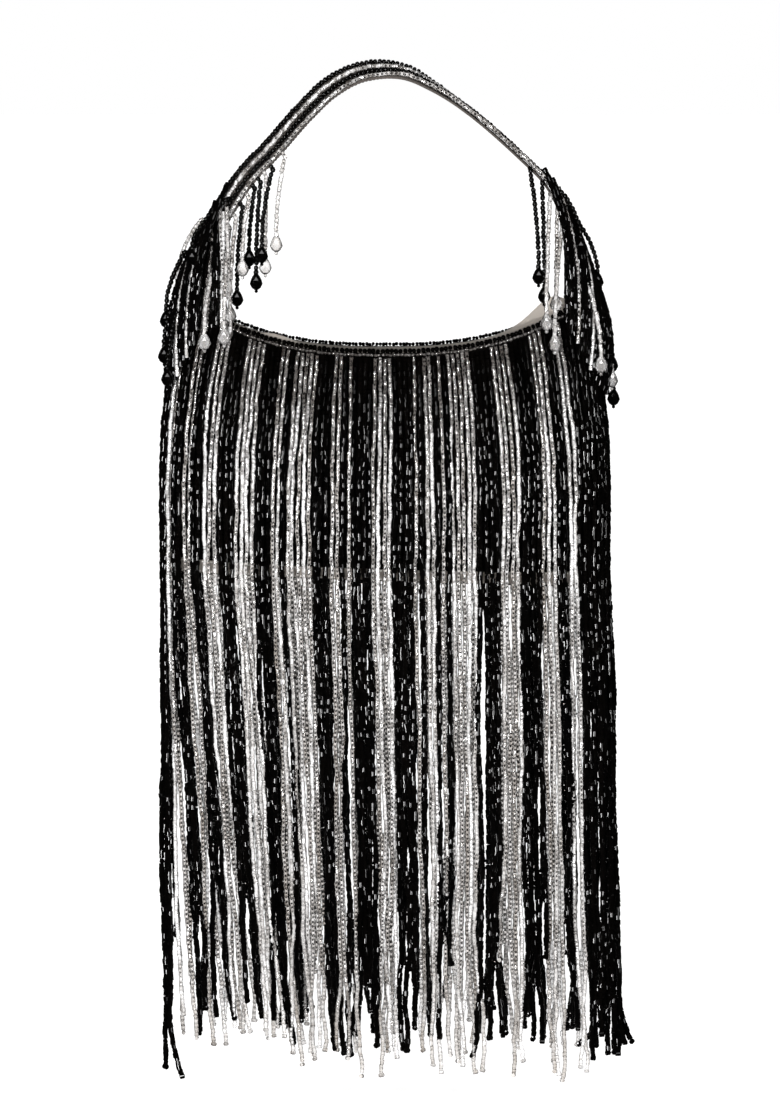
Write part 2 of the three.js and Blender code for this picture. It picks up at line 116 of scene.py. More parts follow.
def shares(steps: int) -> list[float]:
    """Even shares from 0 to 1."""
    return [step / steps for step in range(steps + 1)]


def between(table: Sequence[tuple[float, float]], place: float) -> float:
    """The value at a place, read between the rows of a table.

    Args:
        table: rows of place and value, with rising places.
        place: where the value is wanted.

    Returns:
        The value, held at the table's ends.
    """
    for (before, low), (after, high) in zip(table, table[1:]):
        if place <= after:
            return mix(low, high, clamp((place - before) / (after - before)))
    return table[-1][1]


def run_lengths(points: Sequence[Vector]) -> list[float]:
    """Distances along a polyline.

    Args:
        points: the polyline's points.

    Returns:
        The distance of each point from the first.
    """
    found = [0.0]
    for before, here in zip(points, points[1:]):
        found.append(found[-1] + (here - before).length)
    return found


def curved(start: Vector, turn: Vector, end: Vector, steps: int) -> list[Vector]:
    """Points of a curve that is drawn aside between its ends.

    Args:
        start: the first point.
        turn: the point that draws the curve towards it.
        end: the last point.
        steps: how many stretches the curve has.

    Returns:
        The points from start to end.
    """
    return [start.lerp(turn, share).lerp(turn.lerp(end, share), share) for share in shares(steps)]


def linked(name: str, mesh: bpy.types.Mesh) -> bpy.types.Object:
    """A new object of the scene that shows a mesh.

    Args:
        name: the object's name.
        mesh: its mesh.

    Returns:
        The object, at the origin.
    """
    shape = bpy.data.objects.new(name, mesh)
    bpy.context.scene.collection.objects.link(shape)
    return shape


def loft(name: str, rings: Sequence[Ring], looped: bool = False) -> bpy.types.Object:
    """A closed shell through rings of points, with a map in metres round and along it.

    Args:
        name: the object's name.
        rings: rings with the same number of points.
        looped: True joins the last ring to the first, False closes both with a fan.

    Returns:
        The object, smooth and facing outwards.
    """
    shell = bmesh.new()
    chart = shell.loops.layers.uv.new("cloth")
    sides = len(rings[0])
    rows = [[shell.verts.new(point) for point in ring] for ring in rings]
    middle = rings[len(rings) // 2]
    around = run_lengths(middle + middle[:1])
    along = run_lengths([ring[0] for ring in (*rings, rings[0])])
    for row in range(len(rings) if looped else len(rings) - 1):
        above = rows[(row + 1) % len(rows)]
        for side in range(sides):
            after = (side + 1) % sides
            face = shell.faces.new((rows[row][side], rows[row][after], above[after], above[side]))
            spots = ((side, row), (side + 1, row), (side + 1, row + 1), (side, row + 1))
            for corner, (u, v) in zip(face.loops, spots):
                corner[chart].uv = (around[u], along[v])
    if not looped:
        for ring in (rows[0], rows[-1]):
            centre = shell.verts.new(sum((corner.co for corner in ring), Vector()) / sides)
            for side in range(sides):
                shell.faces.new((ring[side], ring[(side + 1) % sides], centre))
    bmesh.ops.recalc_face_normals(shell, faces=shell.faces)
    for face in shell.faces:
        face.smooth = True
    mesh = bpy.data.meshes.new(name)
    shell.to_mesh(mesh)
    shell.free()
    return linked(name, mesh)


class Graph:
    """Short hand for adding and joining the nodes of one tree."""

    def __init__(self, tree: bpy.types.NodeTree) -> None:
        """Starts from an empty tree.

        Args:
            tree: the node tree to fill.
        """
        self.tree = tree
        self.tree.nodes.clear()

    def add(self, kind: str, inputs: dict | None = None, **settings: object) -> bpy.types.Node:
        """Adds a node, sets its options and fills its inputs.

        Args:
            kind: the node's type name.
            inputs: values or output sockets by input name or number.
            settings: the node's own options.

        Returns:
            The new node.
        """
        node = self.tree.nodes.new(kind)
        for option, value in settings.items():
            setattr(node, option, value)
        for key, value in (inputs or {}).items():
            self.feed(node, key, value)
        return node

    def feed(self, node: bpy.types.Node, key: str | int, value: object) -> None:
        """Joins a socket to an input, or sets the input's own value.

        Args:
            node: the node that takes the value.
            key: the input's name or number.
            value: an output socket or a plain value.
        """
        if isinstance(value, Socket):
            self.tree.links.new(value, node.inputs[key])
        else:
            node.inputs[key].default_value = value

    def math(self, operation: str, *values: object) -> Socket:
        """The result of a Math node."""
        return self.add("ShaderNodeMath", dict(enumerate(values)), operation=operation).outputs[0]

    def vector_math(self, operation: str, inputs: dict) -> Socket:
        """The vector that a Vector Math node gives."""
        return self.add("ShaderNodeVectorMath", inputs, operation=operation).outputs[0]


class Surface(Graph):
    """A node material with one principled shader."""

    WAVE_TURN = 20.0  # radians that a wave texture of scale 1 runs through in a unit of its map

    def __init__(self, name: str) -> None:
        """Makes the material.

        Args:
            name: the material's name.
        """
        self.material = bpy.data.materials.new(name)
        self.material.use_nodes = True
        super().__init__(self.material.node_tree)
        self.shader = self.add("ShaderNodeBsdfPrincipled")
        self.add("ShaderNodeOutputMaterial", {"Surface": self.shader.outputs[0]})
        self.coordinates = self.add("ShaderNodeTexCoord").outputs

    def wear(self, **values: object) -> None:
        """Sets the shader's inputs, with underscores for the spaces in their names."""
        for name, value in values.items():
            self.feed(self.shader, name.replace("_", " "), value)

    def attribute(self, name: str) -> Socket:
        """A number stored on the mesh."""
        return self.add("ShaderNodeAttribute", attribute_name=name).outputs["Fac"]

    def height(self) -> Socket:
        """Height on the piece's own coordinates."""
        return self.add("ShaderNodeSeparateXYZ", {0: self.coordinates["Object"]}).outputs["Z"]

    def grain(self, scale: float, detail: float = 2.0, upright: float = 1.0) -> Socket:
        """Noise on the piece's own coordinates.

        Args:
            scale: how fine the noise is.
            detail: how many finer layers it has.
            upright: below 1 draws its patches out in height.

        Returns:
            The noise, from 0 to 1.
        """
        drawn = self.vector_math("MULTIPLY", {0: self.coordinates["Object"], 1: (1.0, 1.0, upright)})
        inputs = {"Vector": drawn, "Scale": scale, "Detail": detail}
        return self.add("ShaderNodeTexNoise", inputs).outputs["Fac"]

    def threads(self, pitch: float, direction: str) -> Socket:
        """Fine ridges along the cloth's own map, one for each thread.

        Args:
            pitch: distance from thread to thread.
            direction: X for threads that follow one another round the piece, Y for along it.

        Returns:
            The height of the ridges.
        """
        inputs = {"Vector": self.coordinates["UV"], "Scale": 2.0 * math.pi / (self.WAVE_TURN * pitch)}
        inputs |= {"Distortion": 0.4, "Detail": 1.0}
        return self.add("ShaderNodeTexWave", inputs, bands_direction=direction).outputs["Fac"]

    def blend(self, share: object, low: Rgb | Socket, high: Rgb) -> Socket:
        """A colour between two others.

        Args:
            share: 0 for the first colour, 1 for the second.
            low: the first colour, plain or from the nodes.
            high: the second colour.

        Returns:
            The colour between them.
        """
        start = low if isinstance(low, Socket) else (*low, 1.0)
        node = self.add("ShaderNodeMix", {0: share, 6: start, 7: (*high, 1.0)}, data_type="RGBA")
        return node.outputs[2]

    def remap(self, value: object, low: float, high: float) -> Socket:
        """A number from 0 to 1 moved to another range."""
        return self.add("ShaderNodeMapRange", {"Value": value, "To Min": low, "To Max": high}).outputs[0]

    def step(self, value: object, limits: Span) -> Socket:
        """0 below the lower limit, 1 above the upper one."""
        inputs = {"Value": value, "From Min": limits[0], "From Max": limits[1]}
        return self.add("ShaderNodeMapRange", inputs).outputs[0]

    def bump(self, height: Socket, depth: float, strength: float) -> None:
        """Raises the surface by a height map."""
        inputs = {"Height": height, "Distance": depth, "Strength": strength}
        self.wear(Normal=self.add("ShaderNodeBump", inputs).outputs[0])


@dataclass(frozen=True)
class GlassFinish:
    """Pressed glass beads whose tone differs a little from bead to bead and from string to string."""

    name: str
    slot: str
    plain: Rgb
    tinted: Rgb
    rough: Span
    gloss: float
    coat: float
    clearness: Span | None = None
    # the dark colour of the threading hole and of the painted shade at the clear glass's outline
    ends: Rgb = (0.004, 0.003, 0.003)
    # painted shade: near the top of its string, clear glass darkens towards this colour
    rim_shade_colour: Rgb = (0.05, 0.04, 0.033)
    rim_shade_weight: float = 0.85
    refraction: float = 1.5
    coat_rough: float = 0.05
    patch_scale: float = 450.0
    patch_drawn: float = 0.07
    patch_limits: Span = (0.38, 0.62)
    patch_weight: float = 0.35
    bead_weight: float = 0.2
    string_weight: float = 0.45
    facing_blend: float = 0.75
    # facings over which the clear glass's outline darkens with painted shade
    outline_shade: Span = (0.32, 0.72)
    hole: Span = (0.40, 0.48)
    hole_width: Span = (0.16, 0.28)
    end_rim: Span = (0.84, 0.92)
    # painted highlight streaks: the dark marks keep only a share on strings and patches below these limits
    streaked: Span = (0.35, 0.6)
    highlight_streak_marks: float = 0.25
    # painted backlight: below these heights the dark marks fade to a share, so the strings' ends look lit
    # from behind
    backlit_below: Span = (-0.450, -0.395)
    backlit_mark_share: float = 0.35
    pit_scale: float = 1400.0
    pit_depth: float = 0.00005
    pit_strength: float = 0.5

    @cache
    def material(self) -> bpy.types.Material:
        """Builds the glass.

        Returns:
            The material, made once.
        """
        surface = Surface(self.name)
        bead = surface.attribute("bead_tone")
        grain = surface.grain(self.patch_scale, 1.0, self.patch_drawn)
        patches = surface.step(grain, self.patch_limits)
        tone = surface.math("MULTIPLY", patches, self.patch_weight)
        string = surface.attribute("string_tone")
        for part, weight in ((bead, self.bead_weight), (string, self.string_weight)):
            tone = surface.math("ADD", tone, surface.math("MULTIPLY", part, weight))
        colour = surface.blend(tone, self.plain, self.tinted)
        if self.clearness:
            colour = self._clear(surface, colour, patches)
        # painted shade: the coat thins near the top of each string
        unshaded = surface.math("SUBTRACT", 1.0, surface.attribute("string_rim_shade"))
        surface.wear(
            Base_Color=colour,
            Roughness=surface.remap(bead, *self.rough),
            IOR=self.refraction,
            Specular_IOR_Level=self.gloss,
            Coat_Weight=surface.math("MULTIPLY", unshaded, self.coat),
            Coat_Roughness=self.coat_rough,
        )
        surface.bump(surface.grain(self.pit_scale), self.pit_depth, self.pit_strength)
        return surface.material

    def _clear(self, surface: Surface, colour: Socket, patches: Socket) -> Socket:
        """Clears the glass. Its outline darkens with painted shade, and its threading hole at the bead's
        ends is dark.

        Args:
            surface: the glass's nodes.
            colour: the glass's colour.
            patches: patches that are drawn out along the strings.

        Returns:
            The colour with its dark places.
        """
        # painted shade: the clear glass darkens where its surface turns away at the outline
        aside = surface.add("ShaderNodeLayerWeight", {"Blend": self.facing_blend}).outputs["Facing"]
        place = surface.math("ABSOLUTE", surface.attribute("bead_end"))
        inside = surface.math("SUBTRACT", 1.0, surface.step(aside, self.hole_width))
        hole = surface.math("MULTIPLY", surface.step(place, self.hole), inside)
        wall = surface.math("SUBTRACT", 1.0, surface.step(place, self.end_rim))
        outline_shade = surface.math("MULTIPLY", surface.step(aside, self.outline_shade), wall)
        # painted highlight: where string tone and patches are low the dark marks fade, and those stretches
        # read as bright streaks
        string = surface.step(surface.attribute("string_tone"), self.streaked)
        streaks = surface.remap(surface.math("MAXIMUM", string, patches), self.highlight_streak_marks, 1.0)
        # painted backlight: the dark marks fade towards the strings' ends
        high = surface.remap(surface.step(surface.height(), self.backlit_below), self.backlit_mark_share, 1.0)
        strength = surface.math("MULTIPLY", streaks, high)
        hole_and_outline_shade = surface.math("MULTIPLY", surface.math("MAXIMUM", hole, outline_shade), strength)
        solid = surface.math("SUBTRACT", 1.0, hole)
        clearness = surface.remap(surface.attribute("bead_tone"), *self.clearness)
        surface.wear(Transmission_Weight=surface.math("MULTIPLY", clearness, solid))
        # painted shade darkens the clear glass near the top of its string
        rim_shade = surface.math("MULTIPLY", surface.attribute("string_rim_shade"), self.rim_shade_weight)
        return surface.blend(hole_and_outline_shade, surface.blend(rim_shade, colour, self.rim_shade_colour), self.ends)


@dataclass(frozen=True)
class ClothFinish:
    """Woven cloth with threads both ways, lighter in soft patches of wear and of painted sheen."""

    name: str
    slot: str
    plain: Rgb
    worn_and_sheen: Rgb
    thread_pitch: float
    rough: Span
    sheen: float = 0.0
    clearness: float = 0.0
    gloss: float = 0.1
    sheen_rough: float = 0.4
    refraction: float = 1.2
    weft_share: float = 1.15
    weave_range: Span = (0.75, 1.25)
    weave_depth: float = 0.00018
    weave_strength: float = 0.8
    patch_scale: float = 38.0
    patch_detail: float = 4.0

    @cache
    def material(self) -> bpy.types.Material:
        """Builds the cloth.

        Returns:
            The material, made once.
        """
        surface = Surface(self.name)
        warp = surface.threads(self.thread_pitch, "X")
        weft = surface.threads(self.thread_pitch * self.weft_share, "Y")
        weave = surface.math("MULTIPLY", warp, weft)
        patches = surface.grain(self.patch_scale, self.patch_detail)
        share = surface.math("MULTIPLY", patches, surface.remap(weave, *self.weave_range))
        surface.wear(
            # the lighter colour stands for wear and for painted sheen, spread in noise patches
            Base_Color=surface.blend(share, self.plain, self.worn_and_sheen),
            Roughness=surface.remap(patches, *self.rough),
            Specular_IOR_Level=self.gloss,
            Sheen_Weight=self.sheen,
            Sheen_Roughness=self.sheen_rough,
            Transmission_Weight=self.clearness,
            IOR=self.refraction,
        )
        surface.bump(weave, self.weave_depth, self.weave_strength)
        return surface.material


Finish = GlassFinish | ClothFinish


@dataclass(frozen=True)
class Wardrobe:
    """All the finishes of the bag."""

    black: GlassFinish = GlassFinish(
        "black_glass",
        "black_beads",
        plain=(0.0002, 0.0002, 0.0002),
        tinted=(0.0010, 0.0008, 0.0007),
        rough=(0.02, 0.09),
        gloss=0.0,
        coat=0.45,
    )
    clear: GlassFinish = GlassFinish(
        "clear_glass",
        "clear_beads",
        plain=(0.99, 0.99, 1.0),
        tinted=(0.42, 0.375, 0.33),
        rough=(0.02, 0.10),
        gloss=0.5,
        coat=0.8,
        clearness=(0.6, 0.88),
    )
    cloth: ClothFinish = ClothFinish(
        "pouch_cloth",
        "black_cloth",
        plain=(0.0004, 0.0004, 0.0004),
        # brown patches of wear and painted sheen on the black cloth
        worn_and_sheen=(0.003, 0.0022, 0.0018),
        thread_pitch=0.0007,
        rough=(0.5, 0.75),
        sheen=0.005,
    )
    satin: ClothFinish = ClothFinish(
        "lining_satin",
        "satin_lining",
        plain=(0.30, 0.27, 0.24),
        worn_and_sheen=(0.62, 0.57, 0.52),
        thread_pitch=0.0004,
        rough=(0.25, 0.4),
        sheen=0.05,
        clearness=0.6,
    )
    hem: ClothFinish = ClothFinish(
        "hem_ribbon",
        "hem_tape",
        plain=(0.22, 0.195, 0.175),
        worn_and_sheen=(0.45, 0.41, 0.37),
        thread_pitch=0.0006,
        rough=(0.4, 0.6),
        sheen=0.05,
    )
    tape: ClothFinish = ClothFinish(
        "strap_ribbon",
        "strap_tape",
        plain=(0.03, 0.026, 0.024),
        worn_and_sheen=(0.09, 0.08, 0.072),
        thread_pitch=0.0008,
        rough=(0.5, 0.75),
        sheen=0.02,
    )
    thread: ClothFinish = ClothFinish(
        "hem_thread",
        "hem_tape",
        plain=(0.70, 0.67, 0.63),
        worn_and_sheen=(0.92, 0.90, 0.87),
        thread_pitch=0.0003,
        rough=(0.4, 0.6),
    )

    def beads(self, colour: Colour) -> GlassFinish:
        """The glass of one bead colour."""
        return self.black if colour is Colour.BLACK else self.clear


@dataclass(frozen=True)
class BeadSize:
    """Size of a seed bead and how unevenly a string of them sits."""

    width: float = 0.0023
    length: float = 0.0021
    pitch: float = 0.0020
    sides: int = 8
    rings: int = 3
    size_spread: float = 0.08
    tilt_spread: float = 0.1
    jitter: float = 0.00018
    barrel: float = 0.5
    end_turn: float = math.pi / 2.0

    def inputs(self) -> dict[str, float | int]:
        """The values that the bead tree takes.

        Returns:
            The values by input. The radius is a ball's whose widest ring of corners has the bead's width.
        """
        widest = max(math.sin(math.pi * ring / self.rings) for ring in range(1, self.rings))
        return {
            "Pitch": self.pitch,
            "Radius": self.width / 2.0 / widest,
            "Half Length": self.length / 2.0,
            "Sides": self.sides,
            "Rings": self.rings,
            "Size Spread": self.size_spread,
            "Tilt Spread": self.tilt_spread,
            "Jitter": self.jitter,
            "Barrel": self.barrel,
            "End Turn": self.end_turn,
        }


STITCH = BeadSize(sides=6, size_spread=0.15, jitter=0.0, barrel=0.7, end_turn=0.0)
ROUND_BEAD = BeadSize(rings=4, tilt_spread=0.25, barrel=0.8, end_turn=0.0)
CUT_BEAD = BeadSize(tilt_spread=0.25, barrel=0.12, end_turn=0.0)


@dataclass
class BeadPath:
    """One string: its points from top to bottom, a tone of its own and how far down its beads take painted
    shade.
    """

    points: list[Vector]
    tone: float = 0.5
    rim_shade_to: float = 0.0

    def rim_shading(self) -> list[float]:
        """How much painted shade each point takes: all of it at the top, none below the shaded stretch."""
        if self.rim_shade_to <= 0.0:
            return [0.0] * len(self.points)
        return [1.0 - ease(gone / self.rim_shade_to) for gone in run_lengths(self.points)]


class BeadStringer:
    """Geometry Nodes that thread beads on polylines and turn the last bead of each."""

    SIZE_SEED = 1
    TONE_SEED = 2
    TILT_SEED = 3
    JITTER_SEED = 5
    END_MARK = 0.97
    SOFT_TO = math.radians(62.0)

    def __init__(self) -> None:
        """Builds the tree once; every string is threaded with it."""
        self.tree = bpy.data.node_groups.new("bead_string", "GeometryNodeTree")
        self.graph = Graph(self.tree)
        usual = BeadSize().inputs()
        kinds = {name: "Int" if isinstance(value, int) else "Float" for name, value in usual.items()}
        kinds |= {"Seed": "Int", "Finish": "Material"}
        face = self.tree.interface
        face.new_socket("Geometry", in_out="INPUT", socket_type="NodeSocketGeometry")
        self.keys = {
            name: face.new_socket(name, in_out="INPUT", socket_type=f"NodeSocket{kind}").identifier
            for name, kind in kinds.items()
        }
        face.new_socket("Geometry", in_out="OUTPUT", socket_type="NodeSocketGeometry")
        self.given = self.graph.add("NodeGroupInput").outputs
        self._wire()

    def _chance(self, seed: int, inputs: dict, kind: str = "FLOAT") -> bpy.types.Node:
        """A random node whose seed lies a step from the tree's own."""
        inputs[8] = self.graph.math("ADD", self.given["Seed"], seed)
        return self.graph.add("FunctionNodeRandomValue", inputs, data_type=kind)

    def _scatter(self, seed: int) -> Socket:
        """A random vector from -1 to 1 along each axis."""
        return self._chance(seed, {0: (-1.0, -1.0, -1.0), 1: (1.0, 1.0, 1.0)}, "FLOAT_VECTOR").outputs[0]

    def _store(self, geometry: Socket, name: str, value: Socket, domain: str) -> Socket:
        """Keeps a number on the geometry."""
        inputs = {"Geometry": geometry, "Name": name, "Value": value}
        node = "GeometryNodeStoreNamedAttribute"
        return self.graph.add(node, inputs, data_type="FLOAT", domain=domain).outputs[0]

    def _bead(self) -> Socket:
        """One bead of radius 1, drawn out to a barrel, with each corner's place along it.

        Returns:
            The bead's mesh, whose corners hold their place from -1 to 1.
        """
        graph = self.graph
        inputs = {"Segments": self.given["Sides"], "Rings": self.given["Rings"], "Radius": 1.0}
        ball = graph.add("GeometryNodeMeshUVSphere", inputs).outputs[0]
        position = graph.add("GeometryNodeInputPosition").outputs[0]
        place = graph.add("ShaderNodeSeparateXYZ", {0: position}).outputs
        drawn = graph.math("POWER", graph.math("ABSOLUTE", place[2]), self.given["Barrel"])
        along = graph.math("MULTIPLY", drawn, graph.math("SIGN", place[2]))
        moved = graph.add("ShaderNodeCombineXYZ", {0: place[0], 1: place[1], 2: along}).outputs[0]
        marked = self._store(ball, "bead_end", along, "POINT")
        return graph.add("GeometryNodeSetPosition", {"Geometry": marked, "Position": moved}).outputs[0]

    def _turn(self) -> Socket:
        """The bead's rotation: along the string, a little askew, and across it at the string's end.

        Returns:
            The rotation of each bead.
        """
        graph = self.graph
        tangent = graph.add("GeometryNodeInputTangent").outputs[0]
        along = graph.add("FunctionNodeAlignRotationToVector", {"Vector": tangent}, axis="Z").outputs[0]
        spread = self.given["Tilt Spread"]
        limits = graph.add("ShaderNodeCombineXYZ", {0: spread, 1: spread, 2: math.pi}).outputs[0]
        tilt = graph.vector_math("MULTIPLY", {0: self._scatter(self.TILT_SEED), 1: limits})
        last = graph.add("GeometryNodeInputNamedAttribute", {"Name": "string_end"}, data_type="FLOAT")
        at_end = graph.math("GREATER_THAN", last.outputs["Attribute"], self.END_MARK)
        across = graph.math("MULTIPLY", at_end, self.given["End Turn"])
        end_turn = graph.add("ShaderNodeCombineXYZ", {0: across}).outputs[0]
        whole = graph.vector_math("ADD", {0: tilt, 1: end_turn})
        local = graph.add("FunctionNodeEulerToRotation", {0: whole}).outputs[0]
        inputs = {"Rotation": along, "Rotate By": local}
        return graph.add("FunctionNodeRotateRotation", inputs, rotation_space="LOCAL").outputs[0]

    def _scale(self) -> Socket:
        """The bead's size, a little different for each.

        Returns:
            The scale of each bead.
        """
        graph = self.graph
        radius = self.given["Radius"]
        inputs = {0: radius, 1: radius, 2: self.given["Half Length"]}
        whole = graph.add("ShaderNodeCombineXYZ", inputs).outputs[0]
        spread = self.given["Size Spread"]
        limits = {2: graph.math("SUBTRACT", 1.0, spread), 3: graph.math("ADD", 1.0, spread)}
        chance = self._chance(self.SIZE_SEED, limits).outputs[1]
        return graph.vector_math("SCALE", {0: whole, "Scale": chance})

    def _wire(self) -> None:
        """Joins the nodes from the polylines to the finished beads."""
        graph = self.graph
        lines = graph.add("GeometryNodeMeshToCurve", {0: self.given["Geometry"]}).outputs[0]
        inputs = {"Curve": lines, "Length": self.given["Pitch"]}
        seats = graph.add("GeometryNodeResampleCurve", inputs, mode="LENGTH").outputs[0]
        inputs = {"Points": seats, "Instance": self._bead()}
        inputs |= {"Rotation": self._turn(), "Scale": self._scale()}
        beads = graph.add("GeometryNodeInstanceOnPoints", inputs).outputs[0]
        scatter = {0: self._scatter(self.JITTER_SEED), "Scale": self.given["Jitter"]}
        shift = graph.vector_math("SCALE", scatter)
        inputs = {"Instances": beads, "Translation": shift, "Local Space": False}
        beads = graph.add("GeometryNodeTranslateInstances", inputs).outputs[0]
        toned = self._store(beads, "bead_tone", self._chance(self.TONE_SEED, {}).outputs[1], "INSTANCE")
        whole = graph.add("GeometryNodeRealizeInstances", {0: toned}).outputs[0]
        inputs = {"Geometry": whole, "Shade Smooth": True}
        smooth = graph.add("GeometryNodeSetShadeSmooth", inputs).outputs[0]
        turned = graph.add("GeometryNodeInputMeshEdgeAngle").outputs["Unsigned Angle"]
        inputs = {"Geometry": smooth, "Shade Smooth": graph.math("LESS_THAN", turned, self.SOFT_TO)}
        rimmed = graph.add("GeometryNodeSetShadeSmooth", inputs, domain="EDGE").outputs[0]
        inputs = {"Geometry": rimmed, "Material": self.given["Finish"]}
        dressed = graph.add("GeometryNodeSetMaterial", inputs).outputs[0]
        graph.add("NodeGroupOutput", {0: dressed})

    @staticmethod
    def _polylines(name: str, paths: Iterable[BeadPath]) -> bpy.types.Object:
        """A mesh of loose edges with each string's tone and painted shade and a mark on its last corner.

        Args:
            name: the object's name.
            paths: the strings.

        Returns:
            The object.
        """
        corners: list[Vector] = []
        edges: list[tuple[int, int]] = []
        marks: dict[str, list[float]] = {"string_tone": [], "string_end": [], "string_rim_shade": []}
        for path in paths:
            first, count = len(corners), len(path.points)
            corners += path.points
            edges += [(corner, corner + 1) for corner in range(first, first + count - 1)]
            marks["string_tone"] += [path.tone] * count
            marks["string_end"] += [0.0] * (count - 1) + [1.0]
            marks["string_rim_shade"] += path.rim_shading()
        mesh = bpy.data.meshes.new(name)
        mesh.from_pydata(corners, edges, [])
        for mark, values in marks.items():
            mesh.attributes.new(mark, "FLOAT", "POINT").data.foreach_set("value", values)
        return linked(name, mesh)

    def thread(
        self, name: str, paths: Iterable[BeadPath], size: BeadSize, finish: Finish, seed: int
    ) -> bpy.types.Object:
        """Strings beads along paths and makes them one plain mesh.

        Args:
            name: the piece's name.
            paths: the strings.
            size: the beads' size.
            finish: the beads' finish.
            seed: fixed seed of the beads' small differences.

        Returns:
            The finished object.
        """
        host = self._polylines(name + "_path", paths)
        modifier = host.modifiers.new("beads", "NODES")
        modifier.node_group = self.tree
        values = size.inputs() | {"Seed": seed, "Finish": finish.material()}
        for key, value in values.items():
            modifier[self.keys[key]] = value
        graph = bpy.context.evaluated_depsgraph_get()
        strung = host.evaluated_get(graph)
        mesh = bpy.data.meshes.new_from_object(strung, preserve_all_data_layers=True, depsgraph=graph)
        host.modifiers.remove(modifier)
        bpy.data.objects.remove(host)
        return linked(name, mesh)


@dataclass
class Piece:
    """A finished mesh, the solids it stands for and the finish it wears."""

    shape: bpy.types.Object
    nodes: tuple[str, ...]
    finish: Finish

    def settle(self) -> None:
        """Puts the finish on, rides on the bag's body and stands for its solids."""
        self.shape.data.materials.clear()
        self.shape.data.materials.append(self.finish.material())
        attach(self.shape, BODY)
        if self.nodes:
            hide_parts(*self.nodes)
        LOG.info("%s: %d faces", self.shape.name, len(self.shape.data.polygons))


@dataclass
class Assembly(ABC):
    """Some pieces of the bag that are built together."""

    wardrobe: Wardrobe
    stringer: BeadStringer
    pieces: list[Piece] = field(default_factory=list, init=False)

    @abstractmethod
    def build(self) -> None:
        """Makes the pieces."""

    def keep(self, shape: bpy.types.Object, finish: Finish, *nodes: str) -> None:
        """Keeps a piece with its finish and the solids that it stands for."""
        self.pieces.append(Piece(shape, nodes, finish))

    def string(
        self, name: str, paths: Iterable[BeadPath], size: BeadSize, finish: Finish, seed: int, *nodes: str
    ) -> None:
        """Threads strings of beads as one piece and keeps it.

        Args:
            name: the piece's name.
            paths: the strings.
            size: the beads' size.
            finish: the beads' finish.
            seed: fixed seed of the beads' small differences.
            nodes: the solids that the piece stands for.
        """
        self.keep(self.stringer.thread(name, paths, size, finish, seed), finish, *nodes)

    def dress(self) -> None:
        """Settles every piece."""
        for piece in self.pieces:
            piece.settle()


@dataclass(frozen=True)
class Section:
    """Plan of the pouch at a share of the way down from its rim."""

    down: float
    half_width: float
    half_depth: float


